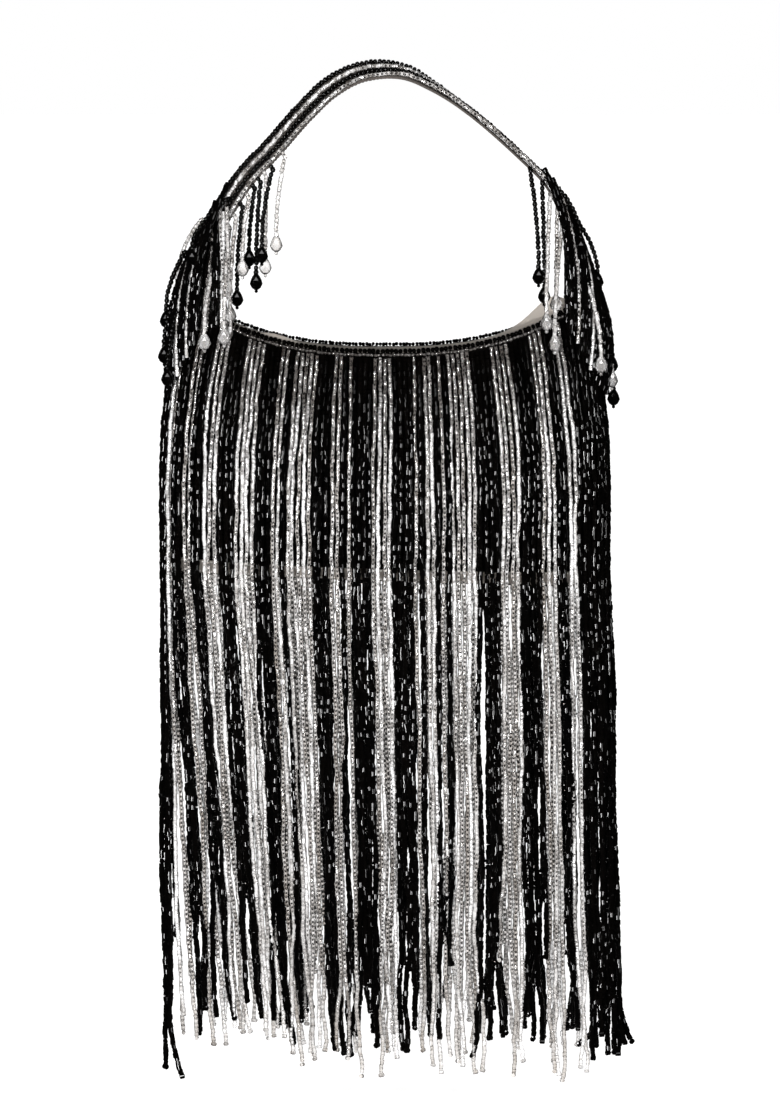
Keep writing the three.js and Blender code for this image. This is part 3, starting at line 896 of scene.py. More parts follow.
@dataclass(frozen=True)
class BagForm:
    """Shape of the pouch and of the curtain round it: a superellipse in plan, with a dipping rim.

    Leans are rows of a place across the bag and how far a string's end there hangs over to +X.
    """

    plan_power: float = 2.6
    rim_low: float = -0.1215
    rim_rise: float = 0.0222
    rim_power: float = 2.6
    bottom: float = -0.2243
    bottom_slope: float = 0.035
    curtain_top: float = -0.220
    curtain_length: float = 0.210
    fringe_end: float = math.radians(89.3)
    string_offset: float = 0.0018
    angle_samples: int = 720
    sections: tuple[Section, ...] = (
        Section(0.0, 0.0880, 0.0150),
        Section(0.1, 0.0908, 0.0170),
        Section(0.22, 0.0936, 0.0190),
        Section(0.45, 0.0972, 0.0213),
        Section(0.65, 0.0983, 0.0216),
        Section(0.85, 0.0983, 0.0196),
        Section(0.94, 0.0975, 0.0171),
        Section(1.0, 0.0956, 0.0140),
    )
    leans: tuple[tuple[float, float], ...] = (
        (-0.0983, 0.0006),
        (-0.0948, 0.0080),
        (-0.0872, 0.0132),
        (-0.0784, 0.0142),
        (-0.0638, 0.0120),
        (-0.0420, 0.0076),
        (-0.0230, 0.0042),
        (-0.0027, 0.0038),
        (0.0157, 0.0028),
        (0.0350, 0.0016),
        (0.0553, 0.0018),
        (0.0718, 0.0046),
        (0.0829, 0.0056),
        (0.0983, 0.0060),
    )

    @cache
    def section(self, down: float) -> Section:
        """Plan at a share of the way down.

        Args:
            down: 0 at the rim, 1 at the bottom.

        Returns:
            The plan between the two nearest sections.
        """
        held = clamp(down)
        width = between([(row.down, row.half_width) for row in self.sections], held)
        return Section(held, width, between([(row.down, row.half_depth) for row in self.sections], held))

    @property
    def widest(self) -> Section:
        """Plan of the free curtain, as wide as the pouch's widest place."""
        return max(self.sections, key=lambda row: (row.half_width, row.half_depth))

    @staticmethod
    def _rounded(angle: float, power: float) -> Span:
        """Sine and negative cosine of an angle, raised to a power that keeps their signs."""
        sine, cosine = math.sin(angle), -math.cos(angle)
        return math.copysign(abs(sine) ** power, sine), math.copysign(abs(cosine) ** power, cosine)

    def normal(self, section: Section, angle: float) -> Vector:
        """Outward direction of the plan's outline. Angle 0 is the front's middle."""
        across, deep = self._rounded(angle, 2.0 - 2.0 / self.plan_power)
        return Vector((across / section.half_width, deep / section.half_depth, 0.0)).normalized()

    def plan(self, section: Section, angle: float, outwards: float) -> Vector:
        """A point of the plan's outline, moved out along its normal.

        Args:
            section: the plan.
            angle: the point's angle.
            outwards: how far it is moved.

        Returns:
            The point, at height 0.
        """
        across, deep = self._rounded(angle, 2.0 / self.plan_power)
        edge = Vector((section.half_width * across, section.half_depth * deep, 0.0))
        return edge + self.normal(section, angle) * outwards

    def rim(self, angle: float) -> float:
        """Height of the rim at an angle.

        Args:
            angle: the plan angle.

        Returns:
            The height, lowest at the middle of each broad side.
        """
        top = self.sections[0]
        share = abs(self.plan(top, angle, 0.0).x) / top.half_width
        return self.rim_low + self.rim_rise * share**self.rim_power

    def wall_point(self, down: float, angle: float, outwards: float) -> Vector:
        """A point of the pouch's wall.

        Args:
            down: share of the way from the rim to the bottom.
            angle: its plan angle.
            outwards: how far it is moved out from the outer face.

        Returns:
            The point.
        """
        point = self.plan(self.section(down), angle, outwards)
        point.z = mix(self.rim(angle), self.bottom - self.bottom_slope * point.x, down)
        return point

    def under_rim(self, below: float, angle: float, outwards: float) -> Vector:
        """A point of the pouch's wall a few millimetres below the rim.

        Args:
            below: how far below the rim.
            angle: its plan angle.
            outwards: how far it is moved out from the outer face.

        Returns:
            The point.
        """
        tall = self.rim(angle) - self.bottom
        point = self.plan(self.section(max(below, 0.0) / tall), angle, outwards)
        point.z = self.rim(angle) - below
        return point

    def curtain_point(self, height: float, angle: float, outwards: float) -> Vector:
        """A point of the free curtain below the pouch's widest place.

        Args:
            height: the point's height.
            angle: its plan angle.
            outwards: how far it is moved out from the plan.

        Returns:
            The point, hung over to the side.
        """
        point = self.plan(self.widest, angle, outwards)
        fall = max((self.curtain_top - height) / self.curtain_length, 0.0)
        point.x += between(self.leans, self.plan(self.widest, angle, 0.0).x) * fall
        point.z = height
        return point

    @cache
    def string_angles(self, count: int) -> tuple[float, ...]:
        """Angles that share the curtain's front half equally among its strings.

        Args:
            count: how many strings there are.

        Returns:
            The middle angle of each string.
        """
        turns = [mix(-self.fringe_end, self.fringe_end, share) for share in shares(self.angle_samples)]
        lengths = run_lengths([self.plan(self.widest, turn, self.string_offset) for turn in turns])
        table = list(zip(lengths, turns))
        return tuple(between(table, (string + 0.5) / count * lengths[-1]) for string in range(count))


@dataclass(frozen=True)
class Wander:
    """A smooth wander: its size, its pace across a piece and down it, and its noise layer."""

    size: float
    pace_across: float
    pace_down: float
    layer: float

    def at(self, across: float, down: float, layer: float = 0.0) -> float:
        """The wander at a place across, such as a string's number, and a place down."""
        return self.size * ripple(across * self.pace_across, down * self.pace_down, layer + self.layer)


@dataclass(frozen=True)
class Fold:
    """A place where the lining's edge stands above the rim: its plan angle and breadth in degrees."""

    angle: float
    breadth: float
    height: float


@dataclass
class Pouch(Assembly):
    """The soft cloth pouch, its satin lining and the ribbon round its bottom edge."""

    form: BagForm
    sides: int = 128
    wall: float = 0.0016
    outer_rows: tuple[float, ...] = (
        1.0, 0.985, 0.96, 0.9, 0.82, 0.74, 0.65, 0.55, 0.45, 0.34, 0.24, 0.16, 0.1, 0.05, 0.015,
    )
    rim_insets: tuple[float, ...] = (0.15, 0.5, 0.85)
    inner_rows: tuple[float, ...] = (0.015, 0.05, 0.12, 0.24, 0.4, 0.6, 0.8, 0.95, 0.985)
    pucker: float = 0.00035
    pleats: float = 34.0
    pleat_wander: Wander = Wander(2.0, 3.0, 0.0, 5.0)
    pleat_reach: float = 0.3
    slack_wander: Wander = Wander(1.0, 4.0, 3.0, 9.0)
    slack_reach: float = 0.2
    lining_ease: float = 0.00055
    lining_wall: float = 0.0008
    lining_rows: tuple[float, ...] = (0.0, 0.02, 0.06, 0.12, 0.22, 0.45, 0.7)
    lining_outer_low: tuple[float, ...] = (0.96, 0.981)
    lining_floor: float = 0.973
    fold_reach: float = 0.12
    folds: tuple[Fold, ...] = (Fold(333.0, 9.0, 0.0036), Fold(127.0, 14.0, 0.0085))
    hem_down: Span = (0.942, 0.995)
    hem_rows: tuple[float, ...] = (0.0, 0.05, 0.5, 0.95, 1.0)
    hem_offset: float = 0.00035
    hem_thickness: float = 0.0008
    stitch: BeadSize = replace(STITCH, width=0.0006, length=0.0013, pitch=0.0019)
    stitch_lift: float = 0.0001
    stitch_lines: tuple[tuple[str, float], ...] = (("upper", 0.12), ("lower", 0.88))
    seed: int = 61

    def _angles(self) -> list[float]:
        """Angles of the columns round the pouch."""
        return [2.0 * math.pi * side / self.sides for side in range(self.sides)]

    def _softened(self, point: Vector, angle: float, down: float) -> Vector:
        """Gathers and slack in the cloth: pleats near the rim and broad waves lower down.

        Args:
            point: a point of the wall.
            angle: its plan angle.
            down: its share of the way down.

        Returns:
            The point, moved in or out.
        """
        turned = angle * self.pleats + self.pleat_wander.at(angle, down)
        pleat = math.sin(turned) * (1.0 - ease(down / self.pleat_reach))
        slack = self.slack_wander.at(angle, down) * ease(down / self.slack_reach)
        return point + self.form.normal(self.form.section(down), angle) * self.pucker * (pleat + slack)

    def _ring(self, down: float, outwards: float) -> Ring:
        """One ring of the wall."""
        points = ((self.form.wall_point(down, angle, outwards), angle) for angle in self._angles())
        return [self._softened(point, angle, down) for point, angle in points]

    def _lining_ring(self, down: float, outwards: float) -> Ring:
        """One ring of the lining, whose top edge stands up in folds.

        Args:
            down: share of the way down.
            outwards: how far the ring lies out from the pouch's outer face.

        Returns:
            The ring's points.
        """
        ring = []
        for angle in self._angles():
            point = self.form.wall_point(down, angle, outwards)
            turn = math.degrees(angle)
            raised = sum(
                fold.height * math.exp(-(((turn - fold.angle) / fold.breadth) ** 2)) for fold in self.folds
            )
            point.z += raised * (1.0 - ease(down / self.fold_reach))
            ring.append(point)
        return ring

    def build(self) -> None:
        """Makes the pouch, the lining, the hem and the hem's stitches."""
        rings = [self._ring(down, 0.0) for down in self.outer_rows]
        rings += [self._ring(0.0, -inset * self.wall) for inset in self.rim_insets]
        rings += [self._ring(down, -self.wall) for down in self.inner_rows]
        self.keep(loft("pouch_cloth", rings), self.wardrobe.cloth, "pouch")
        outside = -(self.wall + self.lining_ease)
        inside = outside - self.lining_wall
        outer_rows = (self.lining_rows + self.lining_outer_low)[::-1]
        rings = [self._lining_ring(down, outside) for down in outer_rows]
        rings += [self._lining_ring(down, inside) for down in (*self.lining_rows, self.lining_floor)]
        self.keep(loft("lining_satin", rings), self.wardrobe.satin, "lining")
        self._build_hem()

    def _build_hem(self) -> None:
        """Makes the ribbon round the bottom edge, with a line of stitches along each of its edges."""
        rows = [mix(*self.hem_down, share) for share in self.hem_rows]
        outside = self.hem_offset + self.hem_thickness
        rings = [self._ring(down, outside) for down in rows]
        rings += [self._ring(down, self.hem_offset) for down in reversed(rows)]
        self.keep(loft("hem_ribbon", rings, looped=True), self.wardrobe.hem, "hem_band")
        for edge, share in self.stitch_lines:
            ring = self._ring(mix(*self.hem_down, share), outside + self.stitch_lift)
            path = BeadPath(ring + ring[:1])
            name = f"hem_stitches_{edge}"
            self.string(name, [path], self.stitch, self.wardrobe.thread, self.seed, "hem_band")


@dataclass(frozen=True)
class MouthRow:
    """A row of beads along the mouth, by its place out from the wall's outer face and above the rim."""

    colour: Colour
    outwards: float
    above: float
    front: BeadSize
    back: BeadSize


@dataclass
class MouthRows(Assembly):
    """Rows of beads along the mouth: a black one on the rim and a clear one outside it."""

    form: BagForm
    end_angle: float = math.radians(74.0)
    steps: int = 60
    # painted shade along this length from each row's first end: the clear row darkens and both rows lose
    # most of their coat
    rim_shade_to: float = 1.0
    rows: tuple[MouthRow, ...] = (
        MouthRow(
            Colour.BLACK,
            outwards=-0.0008,
            above=0.0010,
            front=replace(ROUND_BEAD, width=0.0024),
            back=replace(ROUND_BEAD, width=0.0018, length=0.0016, pitch=0.0015),
        ),
        MouthRow(
            Colour.CLEAR,
            outwards=0.0013,
            above=-0.0006,
            front=replace(ROUND_BEAD, width=0.0016, length=0.0018, pitch=0.0017, barrel=0.5),
            back=replace(ROUND_BEAD, width=0.0016, length=0.0018, pitch=0.0017, barrel=0.5),
        ),
    )
    seed: int = 71

    def _path(self, side: Side, row: MouthRow) -> BeadPath:
        """The row's course from one end of the mouth to the other.

        Args:
            side: the broad side that it edges.
            row: the row.

        Returns:
            The course.
        """
        points = []
        for share in shares(self.steps):
            angle = side.facing + mix(-self.end_angle, self.end_angle, share)
            point = self.form.plan(self.form.sections[0], angle, row.outwards)
            point.z = self.form.rim(angle) + row.above
            points.append(point)
        return BeadPath(points, rim_shade_to=self.rim_shade_to)

    def build(self) -> None:
        """Threads the four rows."""
        for side in Side:
            for number, row in enumerate(self.rows):
                finish = self.wardrobe.beads(row.colour)
                node = f"rim_{side.value}_{row.colour.value}"
                size = row.front if side is Side.FRONT else row.back
                self.string(node + "_beads", [self._path(side, row)], size, finish, self.seed + number, node)


@dataclass(frozen=True)
class StrapCourse:
    """The strap's way from the left root over the top to the right root, with its twist.

    Points are rows of a place across the bag and a height.
    """

    twist_left: float = math.radians(15.0)
    twist_right: float = math.radians(90.0)
    turn: Span = (0.38, 0.63)
    samples: int = 24
    search_steps: int = 400
    tangent_step: float = 0.004
    points: tuple[tuple[float, float], ...] = (
        (-0.0876, -0.09895),
        (-0.0870, -0.0890),
        (-0.0818, -0.0760),
        (-0.0716, -0.0579),
        (-0.0616, -0.0430),
        (-0.0514, -0.0324),
        (-0.0362, -0.0152),
        (-0.0245, -0.0042),
        (-0.0130, 0.0019),
        (-0.0020, 0.00353),
        (0.0090, 0.0020),
        (0.0207, -0.0042),
        (0.0402, -0.0180),
        (0.0602, -0.0357),
        (0.0709, -0.0465),
        (0.0770, -0.0570),
        (0.0818, -0.0676),
        (0.0860, -0.0806),
        (0.0880, -0.0900),
        (0.0882, -0.09895),
    )

    @cache
    def _table(self) -> tuple[list[float], list[Vector]]:
        """A centripetal spline through the course.

        Returns:
            The lengths along the spline and its points.
        """
        given = [Vector((across, 0.0, up)) for across, up in self.points]
        held = [2.0 * given[0] - given[1], *given, 2.0 * given[-1] - given[-2]]
        course: list[Vector] = []
        for a, b, c, d in zip(held, held[1:], held[2:], held[3:]):
            first = math.sqrt((b - a).length)
            second = first + math.sqrt((c - b).length)
            third = second + math.sqrt((d - c).length)
            for share in shares(self.samples)[:-1]:
                at = mix(first, second, share)
                ab = a.lerp(b, at / first)
                bc = b.lerp(c, (at - first) / (second - first))
                cd = c.lerp(d, (at - second) / (third - second))
                left = ab.lerp(bc, at / second)
                right = bc.lerp(cd, (at - first) / (third - first))
                course.append(left.lerp(right, (at - first) / (second - first)))
        course.append(given[-1])
        return run_lengths(course), course

    def centre(self, share: float) -> Vector:
        """The middle of the tape.

        Args:
            share: share of the strap's length from the left root.

        Returns:
            The point, held at the strap's ends.
        """
        lengths, course = self._table()
        wanted = clamp(share) * lengths[-1]
        high = min(bisect_right(lengths, wanted), len(lengths) - 1)
        part = (wanted - lengths[high - 1]) / (lengths[high] - lengths[high - 1])
        return course[high - 1].lerp(course[high], part)

    def point(self, share: float, sideways: float, lift: float) -> Vector:
        """A point beside the tape's middle and off its face.

        Args:
            share: share of the strap's length from the left root.
            sideways: distance across the tape, towards the outside of the arch.
            lift: distance off the tape's middle, on the beaded face.

        Returns:
            The point.
        """
        step = self.tangent_step
        along = (self.centre(share + step) - self.centre(share - step)).normalized()
        turned = ease((share - self.turn[0]) / (self.turn[1] - self.turn[0]))
        twist = mix(self.twist_left, self.twist_right, turned)
        sine, cosine = math.sin(twist), math.cos(twist)
        face = Vector((-along.z * sine, -cosine, along.x * sine))
        breadth = Vector((-along.z * cosine, sine, along.x * cosine))
        return self.centre(share) + breadth * sideways + face * lift

    def _first(self, left: bool, reached: Callable[[Vector], bool]) -> float:
        """The first share, from one root up to the top, whose point passes a test.

        Args:
            left: True for the left half.
            reached: the test.

        Returns:
            The share, or the strap's middle where no point passes.
        """
        for step in range(self.search_steps + 1):
            gone = 0.5 * step / self.search_steps
            share = gone if left else 1.0 - gone
            if reached(self.centre(share)):
                return share
        return 0.5

    def share_over(self, across: float) -> float:
        """The share of the strap's length that lies above a place across the bag."""
        return self._first(across < 0.0, lambda point: abs(point.x) <= abs(across))

    def share_at(self, left: bool, height: float) -> float:
        """The share of the strap's length where one half of it passes a height."""
        return self._first(left, lambda point: point.z >= height)


@dataclass
class Handle(Assembly):
    """The strap: a woven tape with four rows of beads sewn on its face."""

    course: StrapCourse
    width: float = 0.0098
    thickness: float = 0.0010
    edge_round: float = 0.6
    face_dip: float = 0.9
    steps: int = 160
    edge_stitch: BeadSize = replace(STITCH, width=0.0005, length=0.0014, pitch=0.0017)
    stitch_seed: int = 83
    rows: tuple[Colour, ...] = (Colour.BLACK, Colour.CLEAR, Colour.BLACK, Colour.CLEAR)
    row_pitch: float = 0.00245
    row_lift: float = 0.0020
    row_tone: float = 0.3
    row_tone_step: float = 0.1
    row_seed: int = 91
    black_size: BeadSize = replace(ROUND_BEAD, width=0.0025)
    clear_size: BeadSize = replace(CUT_BEAD, width=0.0021)

    def _line(self, sideways: float, lift: float, tone: float = 0.5) -> BeadPath:
        """A course along the strap, beside its middle and off its face."""
        return BeadPath([self.course.point(share, sideways, lift) for share in shares(self.steps)], tone)

    def _tape(self) -> bpy.types.Object:
        """The tape, with soft edges.

        Returns:
            The tape.
        """
        half, thick = self.width / 2.0, self.thickness / 2.0
        edge, dip = half - thick * self.edge_round, thick * self.face_dip
        upper = [(edge, thick), (half * 0.5, dip), (-half * 0.5, dip), (-edge, thick)]
        lower = [(sideways, -lift) for sideways, lift in reversed(upper)]
        section = [(half, 0.0), *upper, (-half, 0.0), *lower]
        rings = [[self.course.point(share, *spot) for spot in section] for share in shares(self.steps)]
        return loft("strap_ribbon", rings)

    def build(self) -> None:
        """Makes the tape, its edge stitches and the four rows."""
        tape = self.wardrobe.tape
        self.keep(self._tape(), tape, "handle_tape")
        for edge, sideways in (("inner", -self.width / 2.0), ("outer", self.width / 2.0)):
            name = f"strap_stitches_{edge}"
            line = self._line(sideways, 0.0)
            self.string(name, [line], self.edge_stitch, tape, self.stitch_seed, "handle_tape")
        for number, colour in enumerate(self.rows):
            sideways = ((len(self.rows) - 1) / 2.0 - number) * self.row_pitch
            line = self._line(sideways, self.row_lift, self.row_tone + self.row_tone_step * number)
            size = self.black_size if colour is Colour.BLACK else self.clear_size
            node = f"handle_row_{number + 1}"
            finish = self.wardrobe.beads(colour)
            self.string(node + "_beads", [line], size, finish, self.row_seed + number, node)


@dataclass(frozen=True)
class StringHead:
    """How the strings of one colour start, below the rim and over the wall, and how much longer they are."""

    below: float
    over: float
    longer: float


@dataclass(frozen=True)
class Fan:
    """Strings that spread from one half of the strap over the curtain's edge, from the inside out.

    Heights are those on the strap, feet the places across and heights of the first and last foot, bow how
    far the strings bow out, seats the places beside the tape's middle, and clear the clear strings.
    """

    left: bool
    strings: int
    heights: Span
    feet: tuple[Span, Span]
    bow: Span
    front_seat: Span
    back_seat: Span
    clear: tuple[int, ...]
    half_width: float = 0.1035
    half_depth: float = 0.0246
    seat_spread: float = 0.001
    foot_spread: float = 0.004
    turn_depth: float = 0.7
    turn_height: float = 0.4
    steps: int = 16


@dataclass(frozen=True)
class CurtainString:
    """One string of the curtain, by its number and stripe from the left of its side."""

    side: Side
    number: int
    stripe: int
    colour: Colour


@dataclass
class Fringe(Assembly):
    """The long curtain of bead strings in black and clear stripes.

    Stripes are numbers of strings, black first. Ends are rows of a place across the bag and the height where
    strings end there. Splays are strings of the front with how far their tips turn aside.
    """

    form: BagForm
    course: StrapCourse
    stripes: tuple[int, ...] = (
        3, 2, 2, 2, 2, 3, 3, 4, 3, 2, 1, 5, 3, 2, 1, 1, 4, 4, 4, 1, 1, 2, 1, 1, 1, 5, 4, 4, 4, 3, 2, 2, 9,
    )
    heads: tuple[tuple[Colour, StringHead], ...] = (
        (Colour.BLACK, StringHead(0.0023, 0.00315, 0.0)),
        (Colour.CLEAR, StringHead(0.0022, 0.0024, 0.0095)),
    )
    head_spread: float = 0.0006
    # painted shade: how far below the rim the strings darken and lose their coat
    rim_shade_to: float = 0.070
    ends: tuple[tuple[float, float], ...] = (
        (-0.0983, -0.4300),
        (-0.0850, -0.4170),
        (-0.0700, -0.4220),
        (-0.0550, -0.4290),
        (-0.0200, -0.4340),
        (0.0600, -0.4330),
        (0.0983, -0.4370),
    )
    end_spread: float = 0.0075
    short_share: float = 0.3
    short_by: Span = (0.010, 0.045)
    left_corner: tuple[float, ...] = (-0.022, 0.019, 0.0235)
    splays: tuple[tuple[int, float], ...] = ((2, 0.0045), (87, -0.0150), (89, 0.0025), (90, 0.0060))
    wall_reach: Span = (0.04, 0.65)
    wall_steps: int = 12
    wall_settle: float = 0.22
    free_offset: float = 0.0018
    free_step: float = 0.004
    held_stage: Span = (0.0, 0.12)
    free_stage: Span = (0.33, 0.2)
    last_stage: Span = (0.80, 0.20)
    tip_stage: Span = (0.93, 0.07)
    back_layer: float = 200.0
    gather: Wander = Wander(0.00165, 1.7, 2.2, 11.0)
    stray: Wander = Wander(0.0009, 0.83, 5.0, 23.0)
    wobble: Wander = Wander(0.00075, 5.13, 80.0, 37.0)
    loose: Wander = Wander(0.0033, 1.3, 5.0, 43.0)
    pairing: Wander = Wander(0.0039, 1.9, 1.0, 29.0)
    pair_apart: float = 0.00091
    depth: Wander = Wander(1.0, 3.7, 3.1, 51.0)
    depth_range: Span = (0.0006, 0.0026)
    shiver: Wander = Wander(0.0005, 7.7, 70.0, 67.0)
    lift: float = 0.0003
    slack: float = 0.004
    parting: float = 0.0392
    parting_width: float = 0.0017
    parting_reach: float = 0.004
    shoulders: Span = (-0.066, 0.080)
    clear_beyond: float = 0.074
    shoulder_heights: tuple[Span, Span] = ((-0.0983, -0.0740), (-0.066, -0.0560))
    shoulder_wander: Wander = Wander(1.0, 2.3, 1.0, 81.0)
    shoulder_steps: int = 12
    shoulder_turn: float = 0.45
    shoulder_out: float = 0.001
    left_lifts: tuple[tuple[Side, float], ...] = ((Side.FRONT, 0.0046), (Side.BACK, -0.0018))
    left_spread: float = 0.003
    left_inset: float = 0.001
    right_edge: float = 0.0064
    right_spread: float = 0.0015
    fan_wander: Wander = Wander(1.0, 2.3, 1.0, 85.0)
    fans: tuple[Fan, ...] = (
        Fan(
            left=True,
            strings=10,
            heights=(-0.050, -0.086),
            feet=((0.084, -0.112), (0.0972, -0.138)),
            bow=(0.000, 0.0025),
            front_seat=(0.0035, 0.0044),
            back_seat=(0.0035, -0.0020),
            clear=(3, 6),
        ),
        Fan(
            left=False,
            strings=12,
            heights=(-0.044, -0.088),
            feet=((0.083, -0.112), (0.0990, -0.140)),
            bow=(0.002, 0.0065),
            front_seat=(-0.0035, 0.0040),
            back_seat=(0.0035, 0.0040),
            clear=(2, 6),
        ),
    )
    black_front: BeadSize = BeadSize(
        width=0.0025, length=0.0025, size_spread=0.14, tilt_spread=0.15, jitter=0.00015, barrel=0.4
    )
    clear_front: BeadSize = BeadSize(width=0.0019, length=0.0022, barrel=0.12)
    black_back: BeadSize = BeadSize(width=0.0025, sides=6, length=0.0027, pitch=0.0023, barrel=0.35)
    clear_back: BeadSize = BeadSize(width=0.0019, sides=6, length=0.0025, pitch=0.0023, barrel=0.12)
    front_draw: int = 41
    back_draw: int = 43
    seed: int = 101
    shoulder_seed: int = 121

    def _size(self, side: Side, colour: Colour) -> BeadSize:
        """The size of a side's beads of one colour."""
        black, clear = self.black_back, self.clear_back
        if side is Side.FRONT:
            black, clear = self.black_front, self.clear_front
        return black if colour is Colour.BLACK else clear

    def _chart(self, side: Side) -> list[CurtainString]:
        """The strings of one side from left to right, as someone facing that side sees them.

        Args:
            side: the broad side.

        Returns:
            Its strings. The back's stripes hang behind the same stripes of the front.
        """
        found: list[CurtainString] = []
        for stripe, count in enumerate(self.stripes if side is Side.FRONT else self.stripes[::-1]):
            colour = Colour.BLACK if stripe % 2 == 0 else Colour.CLEAR
            found += [CurtainString(side, len(found) + place, stripe, colour) for place in range(count)]
        return found

    def _end(self, string: CurtainString, angle: float, longer: float, chance: random.Random) -> float:
        """Height of a string's last bead.

        Args:
            string: the string.
            angle: its plan angle.
            longer: how much longer the strings of its colour are.
            chance: the draws of its side.

        Returns:
            The height.
        """
        usual = between(self.ends, self.form.plan(self.form.widest, angle, 0.0).x) - longer
        height = usual + chance.uniform(-self.end_spread, self.end_spread)
        short = chance.uniform(*self.short_by) if chance.random() < self.short_share else 0.0
        if string.side is Side.FRONT and string.number < len(self.left_corner):
            return usual - self.left_corner[string.number]
        if string.side is Side.FRONT and string.number in dict(self.splays):
            return usual
        return height + short

    def _fall(self, angle: float, head: StringHead, start: float, end: float) -> list[Vector]:
        """A string's course before it sways: down the pouch's wall, then straight down.

        Args:
            angle: its plan angle.
            head: how it starts.
            start: how much lower than its neighbours it starts.
            end: the height of its last bead.

        Returns:
            The points from top to bottom.
        """
        points = [self.form.under_rim(head.below + start, angle, head.over)]
        for share in shares(self.wall_steps)[1:]:
            down = mix(*self.wall_reach, share)
            offset = mix(head.over, self.free_offset, ease(down / self.wall_settle))
            points.append(self.form.wall_point(down, angle, offset))
        top = points[-1].z
        count = max(2, round((top - end) / self.free_step))
        for share in shares(count)[1:]:
            points.append(self.form.curtain_point(mix(top, end, share), angle, self.free_offset))
        return points

    def _swayed(self, string: CurtainString, points: list[Vector], angle: float) -> list[Vector]:
        """Lets a string hang unevenly: with its stripe, more and more towards its end, and loose there.

        Args:
            string: the string.
            points: its course.
            angle: its plan angle.

        Returns:
            The swayed course.
        """
        outward = self.form.normal(self.form.widest, angle)
        sideways = Vector((-outward.y, outward.x, 0.0))
        number = string.number
        front = string.side is Side.FRONT
        layer = 0.0 if front else self.back_layer
        top, low = points[0].z, points[-1].z
        apart = points[0].x - self.parting
        parted = math.copysign(self.parting_width, apart) * math.exp(-abs(apart) / self.parting_reach)
        splay = dict(self.splays).get(number, 0.0) if front else 0.0
        paired = self.pair_apart + self.pairing.at(number // 2, 0.5, layer)
        paired *= 1.0 if number % 2 == 0 else -1.0
        moved = []
        for point in points:
            fall = (top - point.z) / (top - low)
            stages = (self.held_stage, self.free_stage, self.last_stage)
            held, free, last = (ease((fall - start) / reach) for start, reach in stages)
            tip = clamp((fall - self.tip_stage[0]) / self.tip_stage[1])
            across = held * self.gather.at(string.stripe, fall, layer)
            across += held * (1.0 + free) * self.stray.at(number, fall, layer)
            across += held * (1.0 + last) * self.wobble.at(number, point.z, layer)
            across += last * (self.loose.at(number, fall, layer) + paired)
            deep = self.lift + mix(*self.depth_range, free) * self.depth.at(number, fall, layer)
            deep += (free + last) * self.shiver.at(number, point.z, layer)
            deep = max(deep, -self.lift - self.slack * free)
            aside = Vector((parted * free + splay * tip * tip, 0.0, 0.0))
            moved.append(point + aside + sideways * across + outward * deep)
        return moved

    def _strings(self, side: Side) -> list[tuple[CurtainString, BeadPath]]:
        """Every string of one side with its course.

        Args:
            side: the broad side.

        Returns:
            The strings from left to right.
        """
        chart = self._chart(side)
        angles = self.form.string_angles(len(chart))
        chance = random.Random(self.front_draw if side is Side.FRONT else self.back_draw)
        found = []
        for string in chart:
            head = dict(self.heads)[string.colour]
            angle = side.facing + angles[string.number]
            end = self._end(string, angle, head.longer, chance)
            course = self._fall(angle, head, chance.uniform(0.0, self.head_spread), end)
            path = BeadPath(self._swayed(string, course, angle), chance.random(), self.rim_shade_to)
            found.append((string, path))
        return found

    def _fan_strings(self, side: Side, fan: Fan) -> list[tuple[Colour, BeadPath]]:
        """Strings that spread from one half of the strap over the outer edge of the curtain.

        Args:
            side: the broad side they hang on.
            fan: the shape of the spread.

        Returns:
            The strings with their colours.
        """
        outward = -1.0 if fan.left else 1.0
        (inner, upper), (outer, lower) = fan.feet
        sideways, lift = fan.front_seat if side is Side.FRONT else fan.back_seat
        power = self.form.plan_power
        found = []
        for string, share in enumerate(shares(fan.strings - 1)):
            shift = self.fan_wander.at(string, 0.5, side.forward + outward)
            place = self.course.share_at(fan.left, mix(*fan.heights, share))
            top = self.course.point(place, sideways + fan.seat_spread * shift, lift)
            across = mix(inner, outer, share)
            rounded = (1.0 - (across / fan.half_width) ** power) ** (1.0 / power)
            deep = side.forward * fan.half_depth * rounded
            foot = Vector((outward * across, deep, mix(upper, lower, share) + fan.foot_spread * shift))
            turn = Vector((outward * (across + mix(*fan.bow, share)), 0.0, 0.0))
            turn.y = mix(top.y, deep, fan.turn_depth)
            turn.z = mix(top.z, foot.z, fan.turn_height)
            clear = side is Side.FRONT and string in fan.clear
            path = BeadPath(curved(top, turn, foot, fan.steps), 0.5 + 0.5 * shift)
            found.append((Colour.CLEAR if clear else Colour.BLACK, path))
        return found

    def _shoulder(self, string: CurtainString, path: BeadPath) -> BeadPath:
        """The stretch of an outer string between the strap above it and its place in the curtain.

        Args:
            string: the string.
            path: its course in the curtain.

        Returns:
            The course above it.
        """
        foot = path.points[0]
        shift = self.shoulder_wander.at(string.number, 0.5)
        forward = string.side.forward
        if foot.x < 0.0:
            share = self.course.share_at(True, between(self.shoulder_heights, foot.x))
            lift = dict(self.left_lifts)[string.side]
            top = self.course.point(share, self.left_spread * shift - self.left_inset, lift)
        else:
            share = self.course.share_over(foot.x)
            top = self.course.point(share, forward * self.right_edge, self.right_spread * shift)
        turn = foot.lerp(top, self.shoulder_turn)
        turn.y = foot.y + forward * self.shoulder_out
        return BeadPath(curved(top, turn, foot, self.shoulder_steps), path.tone)

    def _shoulder_colour(self, string: CurtainString, path: BeadPath) -> Colour | None:
        """The colour a string has above the curtain, where it has such a stretch.

        Args:
            string: the string.
            path: its course in the curtain.

        Returns:
            Black for all strings behind, and None for those that start at the rim.
        """
        foot = path.points[0].x
        low, high = self.shoulders
        own = string.colour if string.side is Side.FRONT else Colour.BLACK
        if foot < -self.clear_beyond or foot > high:
            return own
        return own if foot < low and own is Colour.CLEAR else None

